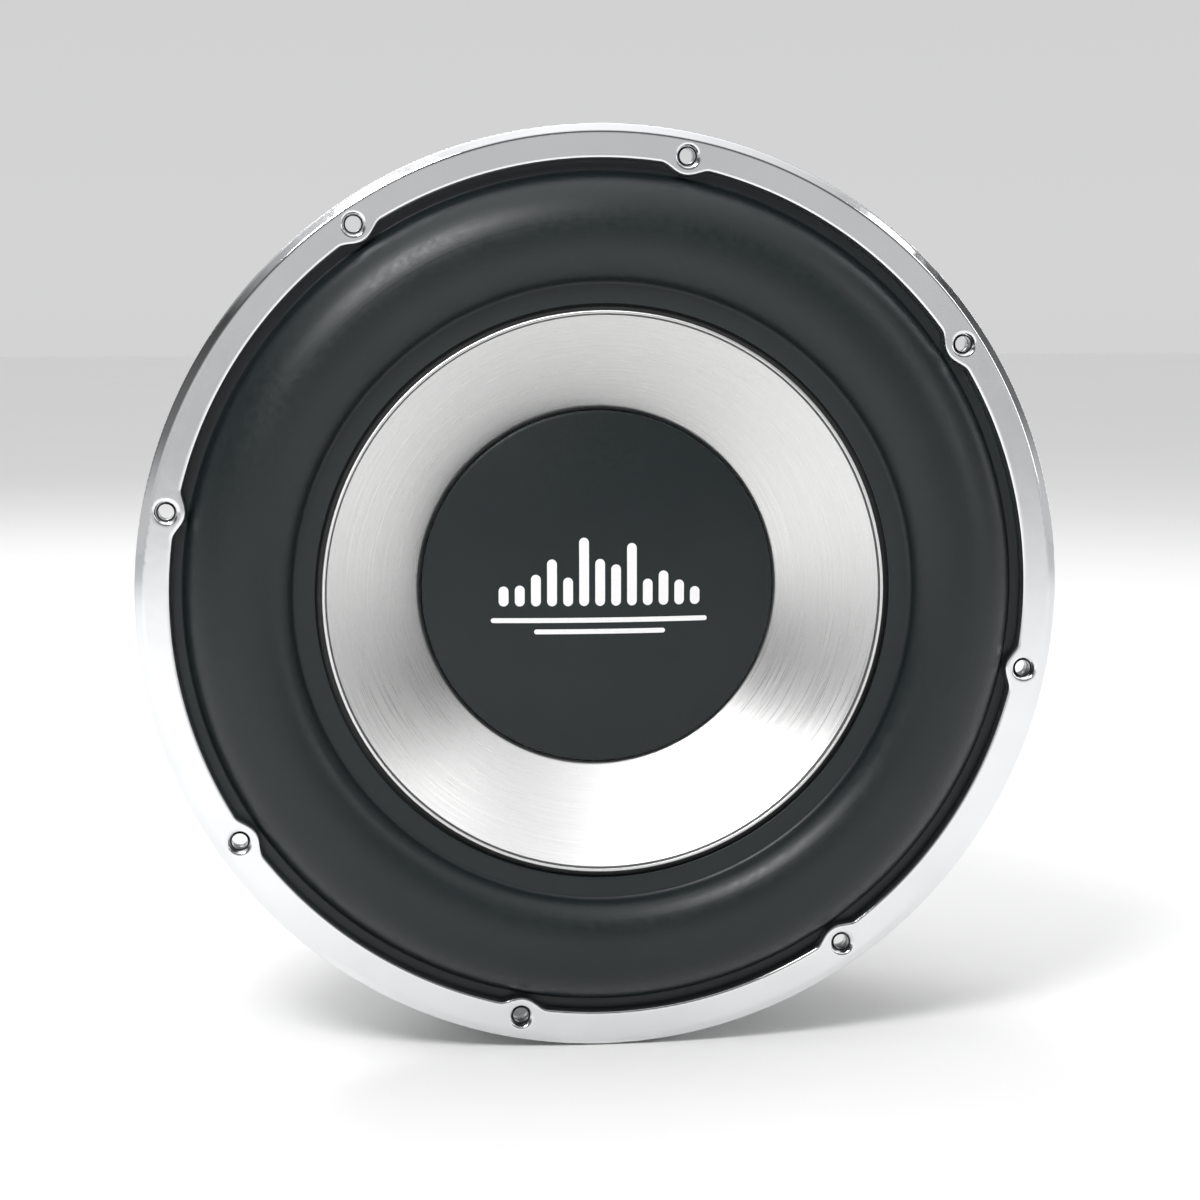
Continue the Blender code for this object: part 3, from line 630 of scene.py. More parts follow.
def channel_field(radius, across, depth, outer):
    """The deep groove down the middle of a leg, in its rear half."""
    channel = np.hypot(across, depth - np.maximum(depth, 91.4)) - 5.2
    channel = np.maximum(channel, outer - CHANNEL_DEPTH - radius)
    return np.maximum(channel, depth - (BASKET_REAR - PLATE_THICKNESS))


def slit_field(radius, across, depth, outer):
    """The tapered groove where a leg's edge meets the flat panel; it narrows away from the rear plate."""
    half = 1.1 + 0.8 * smooth_step((depth - 95.0) / 54.0)
    middle = leg_edge(depth) + 0.2 - half
    walls = np.abs(across - middle) - half * (1.0 + 0.07 * (radius - outer))
    ends = slab(depth, 95.0, BASKET_REAR - PLATE_THICKNESS)
    return np.maximum(walls, np.maximum(ends, outer - 5.5 - radius))


def flute_field(radius, across, depth, outer):
    """A long scoop down each side of a leg, deepest at the rear plate and gone at the slot below it."""
    flute_radius = 7.0
    sunk = 3.4 * smooth_step((depth - 78.0) / 64.0)
    return np.hypot(across - 15.6, radius - outer - flute_radius + sunk) - flute_radius


def window_edge(depth, panel):
    """How far a window's side stands from the middle of the leg beside it."""
    lower = 28.6 - 0.0324 * (depth - WINDOW_FRONT)
    upper = 26.0 - 0.0576 * (depth - BAR_REAR)
    half_width = np.where(depth < (BAR_FRONT + BAR_REAR) / 2, lower, upper)
    half_bay = math.pi / LEG_COUNT
    return panel * math.sin(half_bay) - half_width * math.cos(half_bay)


def window_field(across, bay_across, depth, panel):
    """The arched window behind the crossbar and the square one before it."""
    arch_radius = 28.7
    arch = np.hypot(bay_across, np.maximum(depth - ARCH_TOP + arch_radius, 0.0)) - arch_radius
    sides = window_edge(depth, panel) - across
    upper = np.maximum(common(sides, arch, 0.4), BAR_FRONT + 4.0 - depth)
    lower = common(sides, WINDOW_FRONT - depth, 2.5)
    return np.minimum(upper, np.maximum(lower, depth - BAR_REAR + 4.0))


def pocket_field(radius, across, bay_out, depth, panel, outer):
    """The hollows between the legs' inner parts: wide before the crossbar, and stepped back by the arch."""
    edge = window_edge(depth, panel)
    side = edge - across - 9.0 * smooth_step((BAR_REAR - depth) / 8.0)
    pocket = common(side, bay_out - (panel - PANEL_THICKNESS), 1.0)
    wall = LEG_DEPTH - 11.5 * np.clip((depth - BAR_REAR) / 68.0, 0.0, 1.0)
    step = common(edge - 7.0 - across, radius - outer + wall, 1.0)
    step = np.maximum(step, BAR_REAR - depth)
    return np.maximum(np.minimum(pocket, step), slab(depth, WINDOW_FRONT, BASKET_REAR - PLATE_THICKNESS))


def crossing_field(radius, across, depth, panel, outer):
    """The round crossbar between the windows and the ledge that holds the spider."""
    bar = common(slab(depth, BAR_FRONT, BAR_REAR), slab(radius, outer - LEG_DEPTH + 1.0, outer - 3.2), 1.6)
    bar = np.maximum(bar, window_edge(depth, panel) - 1.5 - across)
    ledge = common(slab(depth, LEDGE_FRONT, LEDGE_REAR), LEDGE_INNER - radius, 0.8)
    ledge = common(ledge, radius - outer + 5.0, 1.2)
    return np.minimum(bar, ledge)


def plate_field(radius, bay_out, depth, panel, outer):
    """The rear plate: a thick middle and a thinner rim that stands over the legs and panels."""
    middle = common(radius - outer + 6.0, slab(depth, BASKET_REAR - PLATE_THICKNESS, BASKET_REAR + 5.0), 1.0)
    rim = common(radius - outer - 0.8, bay_out - panel - 1.6, 3.0)
    rim = common(rim, slab(depth, BASKET_REAR - 4.2, BASKET_REAR + 5.0), 1.2)
    return np.minimum(middle, rim)


def basket_field(x, depth, z):
    radius = np.hypot(x, z)
    across, out = folded(x, z, LEG_CLOCK, LEG_COUNT)
    bay_across, bay_out = folded(x, z, LEG_CLOCK + 180.0 / LEG_COUNT, LEG_COUNT)
    outer = envelope(depth)
    panel = outer * math.cos(math.radians(PANEL_HALF_ANGLE)) - 1.7

    body = common(radius - outer, outer - LEG_DEPTH - radius, 1.5)
    body = common(body, joined(across - leg_edge(depth), bay_out - panel, 0.8), 1.4)
    body = cut(body, pocket_field(radius, across, bay_out, depth, panel, outer), 1.0)
    body = cut(body, window_field(across, bay_across, depth, panel), 1.2)
    body = cut(body, flute_field(radius, across, depth, outer), 2.2)
    slot = np.hypot(across - 15.0, depth - np.clip(depth, 22.4, 81.6)) - 5.35
    body = cut(body, slot, 1.6)
    body = cut(body, channel_field(radius, across, depth, outer), 2.4)
    body = cut(body, slit_field(radius, across, depth, outer), 0.7)
    body = joined(body, crossing_field(radius, across, depth, panel, outer), 1.0)
    body = np.maximum(body, 4.0 - depth)

    body = joined(body, plate_field(radius, bay_out, depth, panel, outer), 0.8)
    body = common(body, depth - BASKET_REAR, 1.8)
    body = cut(body, np.maximum(radius - SHROUD_BORE, BASKET_REAR - PLATE_THICKNESS - 1.0 - depth), 0.8)
    body = cut(body, np.hypot(out - SCREW_CIRCLE, across) - 3.3, 0.4)

    foot = common(radius - FOOT_RADIUS, slab(depth, -5.0, FOOT_TOP), 1.8)
    flange = common(radius - FLANGE_RADIUS, slab(depth, -5.0, 0.0), 1.0)
    base = common(joined(foot, flange, 1.6), FOOT_INNER - radius, 0.6)
    body = joined(body, base, 1.6)
    hole_across, hole_out = folded(x, z, HOLE_CLOCK, HOLE_COUNT)
    return cut(body, np.hypot(hole_out - HOLE_CIRCLE, hole_across) - HOLE_RADIUS, 0.5)


def groove_shade_share(points):
    """How much shade is painted at each point: 1 deep in the channels and slits of the legs and 0 elsewhere.
    """
    x, depth, z = points.T
    radius, outer = np.hypot(x, z), envelope(depth)
    across, _ = folded(x, z, LEG_CLOCK, LEG_COUNT)
    channel = channel_field(radius, across, depth, outer)
    slit = slit_field(radius, across, depth, outer)
    in_channel = smooth_step((1.0 - channel) / 0.7) * smooth_step((outer - radius - 1.5) / 2.5)
    in_slit = smooth_step((0.7 - slit) / 0.5) * smooth_step((outer - radius - 0.1) / 1.2)
    return np.maximum(in_channel, 0.85 * in_slit)


def trim_field(x, depth, z):
    """The ring over the surround's edge, with a lug and a countersunk hole at each screw."""
    radius = np.hypot(x, z)
    across, out = folded(x, z, HOLE_CLOCK, HOLE_COUNT)
    from_hole = np.hypot(out - HOLE_CIRCLE, across)
    inner_edge = joined(147.8 - radius, from_hole - 7.0, 2.5)
    ring = common(inner_edge, radius - FLANGE_RADIUS, 0.4)
    ring = common(ring, TRIM_FRONT - depth, 1.2)
    bevel = 0.5 * (radius - 157.2) + 0.866 * (TRIM_FRONT - depth)
    ring = np.maximum(ring, bevel)
    ring = np.maximum(ring, depth + 5.3)
    ring = np.maximum(ring, np.minimum(depth + 7.1, 148.65 - radius))
    countersink = from_hole - HOLE_RADIUS - np.maximum(TRIM_FRONT + 1.4 - depth, 0.0)
    return cut(ring, countersink, 0.25)


def inner_share(points):
    """1 on the basket's inner walls and window jambs and 0 on its outside."""
    x, depth, z = points.T
    radius, outer = np.hypot(x, z), envelope(depth)
    _, bay_out = folded(x, z, LEG_CLOCK + 180.0 / LEG_COUNT, LEG_COUNT)
    below_panel = outer * math.cos(math.radians(PANEL_HALF_ANGLE)) - 3.2 - bay_out
    share = smooth_step(below_panel / 1.6) * smooth_step((outer - radius - 2.0) / 2.0)
    return share * smooth_step((BASKET_REAR - 2.0 - depth) / 2.0) * smooth_step((depth - 2.0) / 2.0)


def hole_shade_share(points):
    """Where shade is painted: 1 on the walls of the trim ring's screw holes and 0 elsewhere."""
    hole_across, hole_out = folded(points[:, 0], points[:, 2], HOLE_CLOCK, HOLE_COUNT)
    from_hole = np.hypot(hole_out - HOLE_CIRCLE, hole_across)
    return smooth_step((HOLE_RADIUS + 0.7 - from_hole) / 0.5)


def make_basket():
    reach = FLANGE_RADIUS + 2.0
    low, high = (-reach, -7.0, -reach), (reach, 160.0, reach)
    basket = solid("basket_casting", basket_field, low, high, 0.75, CASTING)
    # paints shade deep in the leg channels and slits
    fill_share(basket, PAINTED_SHADE_SHARE, groove_shade_share)
    fill_share(basket, INSIDE_SHARE, inner_share)
    settle(basket, "plated_casting", "basket")


def make_trim_ring():
    reach = FLANGE_RADIUS + 2.0
    low, high = (-reach, -13.0, -reach), (reach, -3.0, reach)
    trim = solid("trim_ring_polished", trim_field, low, high, 0.55, CHROME)
    # paints shade on the walls of the screw holes
    fill_share(trim, PAINTED_SHADE_SHARE, hole_shade_share)
    settle(trim, "plated_casting", "trim_ring")


# ---------------- moving assembly

def cone_front(radius):
    """The depth of the cone's front surface."""
    return CONE_RIM_DEPTH + (CONE_RIM - radius) * CONE_SLOPE


def cap_front(radius):
    """The depth of the dust cap's front surface."""
    rim = cone_front(CAP_RADIUS) - FACE_THICKNESS - 2 * GAP - 1.4
    return rim - CAP_RISE * (1 - (radius / CAP_RADIUS) ** 2)


def make_cone():
    neck = FORMER_OUTER + GAP
    lip = ROLL_INNER_DEPTH + SURROUND_THICKNESS + GAP
    outline = [
        (ROLL_INNER - 0.4, lip, 0.6), (CONE_RIM + 1.8, lip, 1.0), (CONE_RIM, cone_front(CONE_RIM), 1.0),
        (neck, cone_front(neck)), (neck, cone_front(neck) + 4.0), (neck + 1.8, cone_front(neck) + 4.0, 0.6),
        (70.0, cone_front(70.0) + 2.2, 30.0), (CONE_RIM, lip + 2.8, 4.0), (ROLL_INNER - 0.4, lip + 1.8, 0.8),
    ]
    settle(turned("cone_pulp_body", rounded(outline, 6), PULP), "cone_pulp", "cone_body", body=MOVING)


def make_cone_face():
    """The dished plate, with a small rolled bead at its rim."""
    inner, crest = CAP_RADIUS - 1.8, FACE_THICKNESS + GAP
    outline = [
        (inner, cone_front(inner) - crest, 0.3), (CONE_RIM - 1.7, cone_front(CONE_RIM - 1.7) - crest, 0.6),
        (CONE_RIM - 1.1, CONE_RIM_DEPTH - crest - 0.5, 0.4), (CONE_RIM, CONE_RIM_DEPTH - crest - 0.1, 0.5),
        (CONE_RIM, CONE_RIM_DEPTH - GAP, 0.3), (CONE_RIM - 2.0, cone_front(CONE_RIM - 2.0) - GAP),
        (inner, cone_front(inner) - GAP, 0.2),
    ]
    face = turned("cone_face_disc", rounded(outline), SPUN, steps=360, smooth_angle=50.0)
    settle(face, "brushed_aluminium", "cone_face", body=MOVING)


def make_dust_cap():
    """A shallow dome with a rounded skirt."""
    radii = np.linspace(0.0, CAP_RADIUS - 1.2, 36)
    front = [(r, cap_front(r)) for r in radii]
    rear = [(r, cap_front(r) + 1.4) for r in radii[::-1]]
    rim = cap_front(CAP_RADIUS)
    outline = rounded(front + [(CAP_RADIUS, rim, 0.9), (CAP_RADIUS, rim + 1.4)] + rear)
    cap = turned("dust_cap_dome", outline, CAP, smooth_angle=50.0)
    settle(cap, "cap_plastic", "dust_cap", body=MOVING)


def printed_bar(points, faces, x, z, width, height):
    """Adds a bar with round ends, standing slightly proud of the dome, centred at x and z."""
    rows, columns = 26, max(4, round(width / 3))
    corner = min(width, height) / 2 - 0.01
    shares = [2 * j / columns - 1 for j in range(columns + 1)]
    loops = []
    for i in range(rows + 1):
        up = height / 2 * math.sin(math.pi * (i / rows - 0.5))
        into_end = max(abs(up) - (height / 2 - corner), 0.0)
        half = width / 2 - corner + math.sqrt(max(corner**2 - into_end**2, 0.0)) + 0.005
        loop = [(x + half * share, -0.16) for share in shares]
        loop += [(x + half * share, 0.05) for share in shares[::-1]]
        loops.append([len(points) + j for j in range(len(loop))])
        points += [(px, cap_front(math.hypot(px, z + up)) + lift, z + up) for px, lift in loop]
    skin(faces, loops)


def make_cap_emblem():
    """A plain row of equaliser bars over two lines, in white ink."""
    points, faces = [], []
    count, pitch = 13, 5.6
    for k in range(count):
        share = (k - (count - 1) / 2) / ((count - 1) / 2)
        height = 6.0 + 20.0 * math.cos(share * 1.35) ** 2 * (0.62 + 0.38 * math.cos(2.4 * k))
        printed_bar(points, faces, (k - (count - 1) / 2) * pitch, -6.0 + height / 2, 3.4, height)
    for z, length in ((-11.0, 76.0), (-15.0, 46.0)):
        printed_bar(points, faces, 0.0, z, length, 1.7)
    emblem = new_piece("cap_print", points, faces, WHITE_INK)
    settle(emblem, "label_film", body=MOVING)


def make_voice_coil():
    front = cone_front(FORMER_OUTER) + 1.0
    rear = COIL_REAR + 1.0
    former = turned("coil_former", edged_ring(FORMER_INNER, FORMER_OUTER, front, rear, 0.0), FILM)
    settle(former, "former_film", "voice_coil_former", body=MOVING)
    inner = FORMER_OUTER + GAP
    winding = turned("coil_winding", edged_ring(inner, COIL_OUTER, COIL_FRONT, COIL_REAR, 0.5), COPPER)
    settle(winding, "copper", "voice_coil_winding", body=MOVING)


# ---------------- suspension

def surround_weight(points):
    radius = np.hypot(points[:, 0], points[:, 2])
    return smooth_step((ROLL_OUTER - radius) / (ROLL_OUTER - ROLL_INNER))


def spider_weight(points):
    radius = np.hypot(points[:, 0], points[:, 2])
    return smooth_step((LEDGE_INNER - radius) / (LEDGE_INNER - FORMER_OUTER - 4.0))


def make_surround():
    """A half roll of rubber, higher at its inner foot, with small fillets where it meets the flat feet."""
    centre, half = (ROLL_OUTER + ROLL_INNER) / 2, (ROLL_OUTER - ROLL_INNER) / 2
    rows = 44

    def roll(share, inset):
        turn = math.pi * share
        base = ROLL_OUTER_DEPTH + (ROLL_INNER_DEPTH - ROLL_OUTER_DEPTH) * share
        depth = base + inset * (1.0 - math.sin(turn)) - (ROLL_RISE - inset) * math.sin(turn)
        return (centre + (half - inset) * math.cos(turn), depth)

    def side(inset):
        arc = [roll(k / rows, inset) for k in range(1, rows)]
        start, end = roll(0.0, inset), roll(1.0, inset)
        foot = [(SURROUND_FOOT, start[1], 0.3), (start[0] + 1.0, start[1], 0.8)]
        return foot + arc + [(end[0] - 1.0, end[1], 0.8), (CONE_RIM + 2.0, end[1], 0.6)]

    outline = rounded(side(0.0) + side(SURROUND_THICKNESS)[::-1])
    surround = turned("surround_roll", outline, RUBBER, steps=288, smooth_angle=60.0)
    settle_flexible(surround, "surround", surround_weight)


def make_spider():
    """Corrugated cloth from the ledge to the coil former, and the ring that clamps its edge."""
    neck = FORMER_OUTER + GAP
    inner, outer = neck + 4.0, LEDGE_INNER - 2.0
    half_waves, per_half = 8, 10
    rear = [(SPIDER_OUTER, SPIDER_REAR)]
    for i in range(half_waves * per_half + 1):
        k = i / per_half
        rise = math.cos(math.pi * k)
        if k < 1:
            rise = -math.sin(math.pi * k / 2)
        if k > half_waves - 1:
            rise = -math.sin(math.pi * (half_waves - k) / 2)
        rear.append((outer + (inner - outer) * k / half_waves, SPIDER_REAR + SPIDER_RISE * rise))
    rear.append((neck, SPIDER_REAR))
    front = [(radius, depth - SPIDER_THICKNESS) for radius, depth in reversed(rear)]
    spider = turned("spider_corrugated", rear + front, CLOTH, smooth_angle=60.0)
    settle_flexible(spider, "spider", spider_weight)

    top = SPIDER_REAR - SPIDER_THICKNESS - GAP
    low = LEDGE_INNER + 1.0
    ring = [(low, top - 3.0, 0.4), (SPIDER_OUTER, top - 3.0, 0.4), (SPIDER_OUTER, top), (low, top)]
    settle(turned("clamp_ring", rounded(ring), FIBRE), "fibre_ring", "spider_clamp_ring")


# ---------------- motor

def yoke_field(x, depth, z):
    """Back plate and pole with the boss that stands in the basket's bore."""
    radius = np.hypot(x, z)
    across, out = folded(x, z, LEG_CLOCK, LEG_COUNT)
    plate_rear = BASKET_REAR - PLATE_THICKNESS - GAP
    body = common(radius - MAGNET_RADIUS, slab(depth, YOKE_FRONT, plate_rear), 1.0)
    body = np.minimum(body, common(radius - POLE_RADIUS, slab(depth, POLE_FRONT, YOKE_FRONT + 4.0), 1.2))
    body = np.minimum(body, common(radius - SHROUD_BORE + 0.8, slab(depth, YOKE_FRONT + 4.0, 154.7), 0.8))
    body = joined(body, common(radius - 43.0, slab(depth, YOKE_FRONT + 4.0, 158.5), 0.5), 0.6)
    bore = np.where(depth > 154.0, radius - VENT_RADIUS - 2.0, radius - VENT_RADIUS)
    body = cut(body, bore, 0.3)
    screw_hole = np.hypot(out - SCREW_CIRCLE, across) - 3.3
    return np.maximum(body, -np.maximum(screw_hole, YOKE_FRONT + 1.5 - depth))


def make_motor():
    reach = MAGNET_RADIUS + 2.0
    low, high = (-reach, 72.0, -reach), (reach, 161.0, reach)
    yoke = solid("pole_and_back_plate", yoke_field, low, high, 0.9, STEEL)
    settle(yoke, "plated_steel", "back_plate_and_pole")
    for name, node in (("magnet_front", "front_magnet"), ("magnet_rear", "rear_magnet")):
        low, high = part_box(node)
        magnet = turned(name, edged_ring(46.5, MAGNET_RADIUS, low.y / MM, high.y / MM, 1.3), FERRITE)
        settle(magnet, "ferrite", node)
    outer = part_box("top_plate")[1].x / MM
    plate = turned("pole_top_plate", edged_ring(42.3, outer, PLATE_FRONT, PLATE_REAR, 0.9), STEEL)
    settle(plate, "plated_steel", "top_plate")
    shorting = turned("flux_ring", edged_ring(37.3, 43.5, 118.0, YOKE_FRONT - GAP, 0.4), SPUN)
    settle(shorting, "brushed_aluminium", "shorting_ring")

    bore = VENT_RADIUS + GAP
    bezel = [
        (bore, 154.3), (VENT_RADIUS + 1.7, 154.3), (VENT_RADIUS + 1.7, 158.8), (28.8, 158.8, 0.1),
        (28.8, 160.0, 0.7), (27.0, 161.2, 1.2), (VENT_RADIUS + 1.2, 160.7, 0.8), (bore, 159.2, 0.6),
    ]
    settle(turned("vent_bezel_ring", rounded(bezel), CHROME), "chrome", "vent_bezel")
    label = turned("rear_plate_label", edged_ring(29.2, 42.2, 158.8, 159.6, 0.25), LABEL)
    settle(label, "label_film", "rear_label_ring")
    make_label_marks()


def arc_strip(points, faces, inner, outer, start, sweep):
    """Adds a thin strip that follows an arc, standing slightly proud of the label."""
    count = max(1, round(abs(sweep) / 2.0))
    front, rear = 159.55, 159.75
    loops = []
    for k in range(count + 1):
        loops.append([len(points) + i for i in range(4)])
        corners = ((inner, front), (inner, rear), (outer, rear), (outer, front))
        points += [around(radius, start + sweep * k / count, depth) for radius, depth in corners]
    skin(faces, loops)


def make_label_marks():
    """A plain scale of ticks round the label, and a few blank fields inside it."""
    points, faces = [], []
    ticks, pitch = 72, 6.0
    for k in range(ticks):
        inner = 38.2 if k % 6 == 0 else 39.6
        arc_strip(points, faces, inner, 41.2, 360.0 / ticks * k - 0.6, 1.2)
    fields = ((20.0, 52.0), (84.0, 30.0), (140.0, 72.0), (226.0, 18.0), (256.0, 62.0), (334.0, 30.0))
    for start, sweep in fields:
        for k in range(round(sweep / pitch)):
            arc_strip(points, faces, 31.6, 35.0, start + pitch * k, 3.6)
        arc_strip(points, faces, 36.3, 37.0, start, sweep * 0.6)
    settle(new_piece("label_scale", points, faces, WHITE_INK), "label_film")


def make_screw(index, angle):
    """A socket cap screw, whose socket has six flat sides."""
    shank, head, seat = 3.0, 4.6, BASKET_REAR + GAP
    top, socket, flats = seat + 5.5, 2.45, 6
    shaft = [(0.0, 139.5), (shank - 0.5, 139.5), (shank, 140.0), (shank, seat), (head - 0.3, seat)]
    cap = [(head, seat + 0.3), (head, top, 0.9), (socket + 0.75, top)]
    well = [(socket + 0.15, top - 0.25, flats), (socket, top - 0.6, flats), (socket, top - 2.9, flats)]
    outline = rounded(shaft + cap + [(0.0, top - 3.4)], 5)
    outline[-1:-1] = well
    screw = turned(f"socket_screw_{index}", outline, CHROME, steps=48, smooth_angle=35.0)
    screw.location = Vector(around(SCREW_CIRCLE, angle, 0.0)) * MM
    screw.rotation_euler = (0.0, math.radians(17.0 * index), 0.0)
    settle(screw, "chrome", f"motor_screw_{index}")


# ---------------- push terminals

BLOCK_INNER, BLOCK_OUTER, BLOCK_FRONT, BLOCK_REAR, BLOCK_WIDTH = 94.0, 108.0, 84.0, 102.0, 14.0
BUTTON_RADIUS, BUTTON_PROUD = 4.2, 4.0
BUTTON_DEPTH = (BLOCK_FRONT + BLOCK_REAR) / 2
WIRE_OUT = BLOCK_OUTER - 4.5


def seat_matrix(angle, depth=0.0):
    """Local X runs across the terminal, local Y out from the axis and local Z towards the rear."""
    turn = math.radians(angle)
    across = Vector((-math.sin(turn), 0.0, math.cos(turn)))
    out = Vector((math.cos(turn), 0.0, math.sin(turn)))
    matrix = Matrix((across, out, (0.0, 1.0, 0.0))).transposed().to_4x4()
    matrix.translation = (0.0, depth * MM, 0.0)
    return matrix


def block_field(x, out, depth):
    """The terminal's body with its button bore and wire hole, and two shallow grooves across its face."""
    block = common(np.abs(x) - BLOCK_WIDTH / 2, slab(out, BLOCK_INNER, BLOCK_OUTER), 1.0)
    block = common(block, slab(depth, BLOCK_FRONT, BLOCK_REAR), 1.0)
    from_button = np.hypot(x, depth - BUTTON_DEPTH)
    collar = common(from_button - 6.2, slab(out, BLOCK_OUTER - 2.0, BLOCK_OUTER + 0.8), 0.4)
    block = joined(block, collar, 0.5)
    for side in (BLOCK_FRONT + 1.9, BLOCK_REAR - 1.9):
        groove = np.maximum(np.abs(depth - side) - 0.35, BLOCK_OUTER - 0.5 - out)
        block = np.maximum(block, -groove)
    bore = np.maximum(from_button - BUTTON_RADIUS - GAP, BLOCK_INNER + 2.0 - out)
    block = cut(block, bore, 0.3)
    return cut(block, np.hypot(x, out - WIRE_OUT) - 1.6, 0.3)


def make_terminal(polarity, angle):
    reach = BLOCK_WIDTH / 2 + 1.0
    low = (-reach, BLOCK_INNER - 1.0, BLOCK_FRONT - 1.0)
    high = (reach, BLOCK_OUTER + 2.0, BLOCK_REAR + 1.0)
    block = solid(f"push_block_{polarity}", block_field, low, high, 0.32, PLASTIC)
    block.matrix_world = seat_matrix(angle)
    settle(block, "terminal_plastic", f"terminal_block_{polarity}")

    start = BLOCK_INNER + 7.2
    end = BLOCK_OUTER + BUTTON_PROUD
    outline = [(0.0, start), (BUTTON_RADIUS, start, 0.4), (BUTTON_RADIUS, end, 0.9), (1.6, end, 0.5)]
    outline = rounded(outline + [(0.0, end - 0.5)])
    button = turned(f"push_button_{polarity}", outline, CHROME, steps=64, smooth_angle=50.0)
    button.matrix_world = seat_matrix(angle, BUTTON_DEPTH)
    settle(button, "chrome", f"terminal_button_{polarity}", body=f"{polarity}_button")

    make_spring(polarity, angle, BLOCK_INNER + 2.3, start - GAP)
    make_solder_tag(polarity, angle)
    make_lead(polarity, angle)


def make_spring(polarity, angle, start, end):
    """A compression spring between the block and its button, which shortens as the button goes in."""
    turns, per_turn, wire, radius = 3.5, 20, 0.3, 3.1
    matrix = np.array(seat_matrix(angle, BUTTON_DEPTH))
    path = []
    for k in range(int(turns * per_turn) + 1):
        turn = TURN * k / per_turn
        out = start + wire + (end - start - 2 * wire) * k / (turns * per_turn)
        path.append(matrix[:3, :3] @ (radius * math.cos(turn), out, radius * math.sin(turn)))
    path = np.array(path) + (0.0, BUTTON_DEPTH, 0.0)
    spring = tube(f"button_spring_{polarity}", path, wire, STEEL, sides=8)
    outward = matrix[:3, 1]

    def weight(points):
        return np.clip((points @ outward - start) / (end - start), 0.0, 1.0)

    settle_flexible(spring, f"terminal_spring_{polarity}", weight, body=f"{polarity}_button")


def make_solder_tag(polarity, angle):
    """A brass tag under the block, bent down to the lead, with a drop of solder."""
    rear = BLOCK_FRONT - GAP

    def field(x, out, depth):
        foot = common(slab(out, 95.4, 101.0), slab(depth, rear - 0.9, rear), 0.2)
        leaf = common(slab(out, 96.6, 97.6), slab(depth, 74.0, rear - 0.2), 0.2)
        tag = common(joined(foot, leaf, 0.5), np.abs(x) - 2.0, 0.3)
        solder = np.sqrt(x**2 + (out - 96.6) ** 2 + ((depth - 75.4) / 1.3) ** 2) - 1.15
        return joined(tag, solder, 0.3)

    tag = solid(f"lead_tag_{polarity}", field, (-3.0, 94.0, 72.0), (3.0, 102.5, 83.0), 0.2, BRASS)
    tag.matrix_world = seat_matrix(angle)
    settle(tag, "brass", f"solder_tag_{polarity}")


def make_lead(polarity, angle):
    """The braided lead from the tag to the coil, sewn along the spider's rear side."""
    stops = [(95.5, 75.0), (94.6, 71.0), (92.6, 66.5), (89.0, 62.5), (83.5, 60.0), (77.0, 58.7)]
    stops += [(70.0, 58.1), (62.0, 57.9), (54.0, 57.9), (47.0, 58.1), (41.2, 58.6)]
    route = smooth_route([around(radius, angle, depth) for radius, depth in stops], 0.35)
    lead = tube(f"braided_lead_{polarity}", route, 0.88, BRAID, sides=18, braid=0.10)
    settle_flexible(lead, f"tinsel_lead_{polarity}", spider_weight)


# ---------------- studio

def aimed(obj, place, target):
    obj.location = place
    obj.rotation_euler = (Vector(target) - Vector(place)).to_track_quat("-Z", "Y").to_euler()
    bpy.context.scene.collection.objects.link(obj)


def add_softbox(name, place, width, height, power):
    light = bpy.data.lights.new(name, "AREA")
    light.shape = "RECTANGLE"
    light.size, light.size_y = width, height
    light.energy = power
    aimed(bpy.data.objects.new(name, light), place, (0.0, 0.04, 0.0))


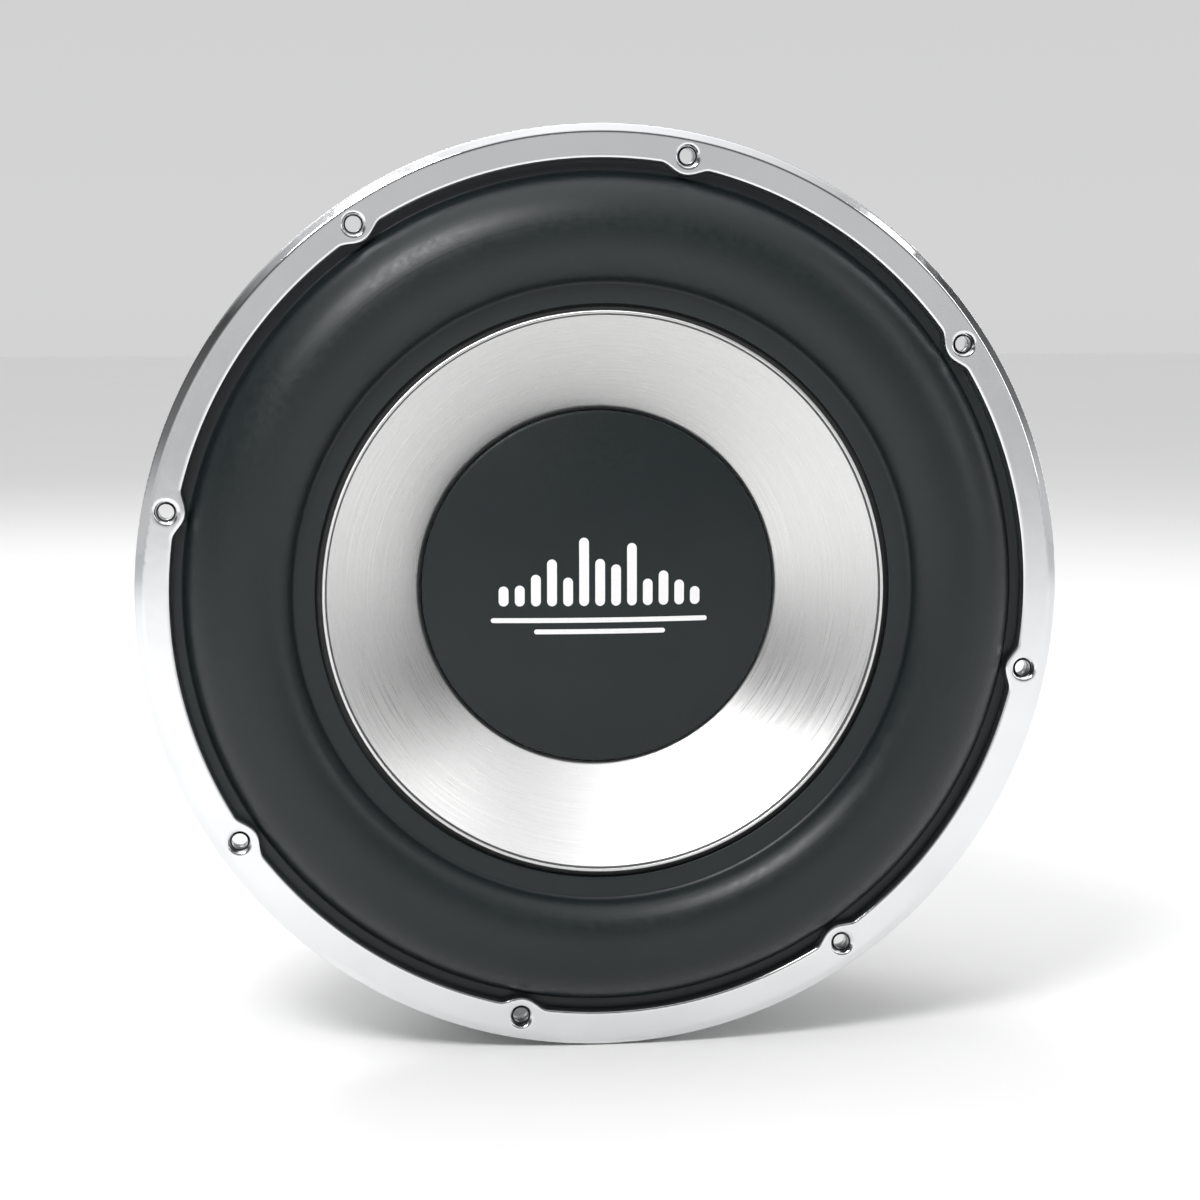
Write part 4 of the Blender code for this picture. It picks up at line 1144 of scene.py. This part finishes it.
def make_studio():
    floor_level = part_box("basket")[0].z - 0.0005
    size = 8000.0
    corners = [(-size, -size, 0), (size, -size, 0), (size, size, 0), (-size, size, 0)]
    paper = Shader("studio_paper", (0.86, 0.86, 0.855), 0.75)
    paper.colours(paper.noise(0.004, 2.0), (0.85, 0.85, 0.845), (0.87, 0.87, 0.865))
    floor = new_piece("studio_floor", corners, [(0, 1, 2, 3)], paper.material)
    floor.location.z = floor_level

    world = bpy.data.worlds.new("studio")
    world.use_nodes = True
    nodes, links = world.node_tree.nodes, world.node_tree.links
    split = nodes.new("ShaderNodeSeparateXYZ")
    links.new(nodes.new("ShaderNodeTexCoord").outputs["Generated"], split.inputs[0])
    height = nodes.new("ShaderNodeMapRange")
    height.inputs["From Min"].default_value = -1.0
    links.new(split.outputs["Z"], height.inputs["Value"])
    ramp = nodes.new("ShaderNodeValToRGB")
    links.new(height.outputs["Result"], ramp.inputs["Fac"])
    links.new(ramp.outputs["Color"], nodes["Background"].inputs["Color"])
    stops = [(0.0, 0.30), (0.50, 0.66), (0.55, 0.64), (0.62, 0.20), (0.75, 0.07), (0.87, 0.8), (1.0, 1.6)]
    for place, _ in stops[1:-1]:
        ramp.color_ramp.elements.new(place)
    for element, (place, tone) in zip(ramp.color_ramp.elements, stops):
        element.position = place
        element.color = (tone, tone, tone * 1.01, 1.0)
    nodes["Background"].inputs["Strength"].default_value = 1.0
    bpy.context.scene.world = world
    bpy.context.scene.view_settings.view_transform = "Standard"

    add_softbox("key", (-0.70, -1.15, 1.35), 0.6, 0.6, 24.0)
    add_softbox("side", (1.5, -0.9, 0.75), 0.35, 1.3, 4.5)
    add_softbox("rear_key", (-0.6, 1.5, 1.3), 0.9, 0.7, 15.0)
    add_softbox("rear_side", (1.4, 1.2, 0.6), 0.4, 1.2, 4.0)


def make_camera():
    """Stands a metre off, a little to the left of the axis and above it."""
    azimuth, elevation, distance = math.radians(-6.6), math.radians(6.6), 1.0
    camera = bpy.data.cameras.new("camera")
    camera.lens = 86.0
    camera.clip_start, camera.clip_end = 0.02, 60.0
    target = Vector((0.0, 0.0, -0.004))
    level = math.cos(elevation)
    back = Vector((math.sin(azimuth) * level, -math.cos(azimuth) * level, math.sin(elevation)))
    stand = bpy.data.objects.new("camera", camera)
    aimed(stand, target + back * distance, target)
    bpy.context.scene.camera = stand


# ---------------- the whole scene

make_camera()
make_studio()
make_basket()
make_trim_ring()
make_cone()
make_cone_face()
make_dust_cap()
make_cap_emblem()
make_voice_coil()
make_surround()
make_spider()
make_motor()
for screw_index, screw_angle in enumerate(leg_angles(), start=1):
    make_screw(screw_index, screw_angle)
for terminal_polarity, terminal_angle in TERMINALS.items():
    make_terminal(terminal_polarity, terminal_angle)
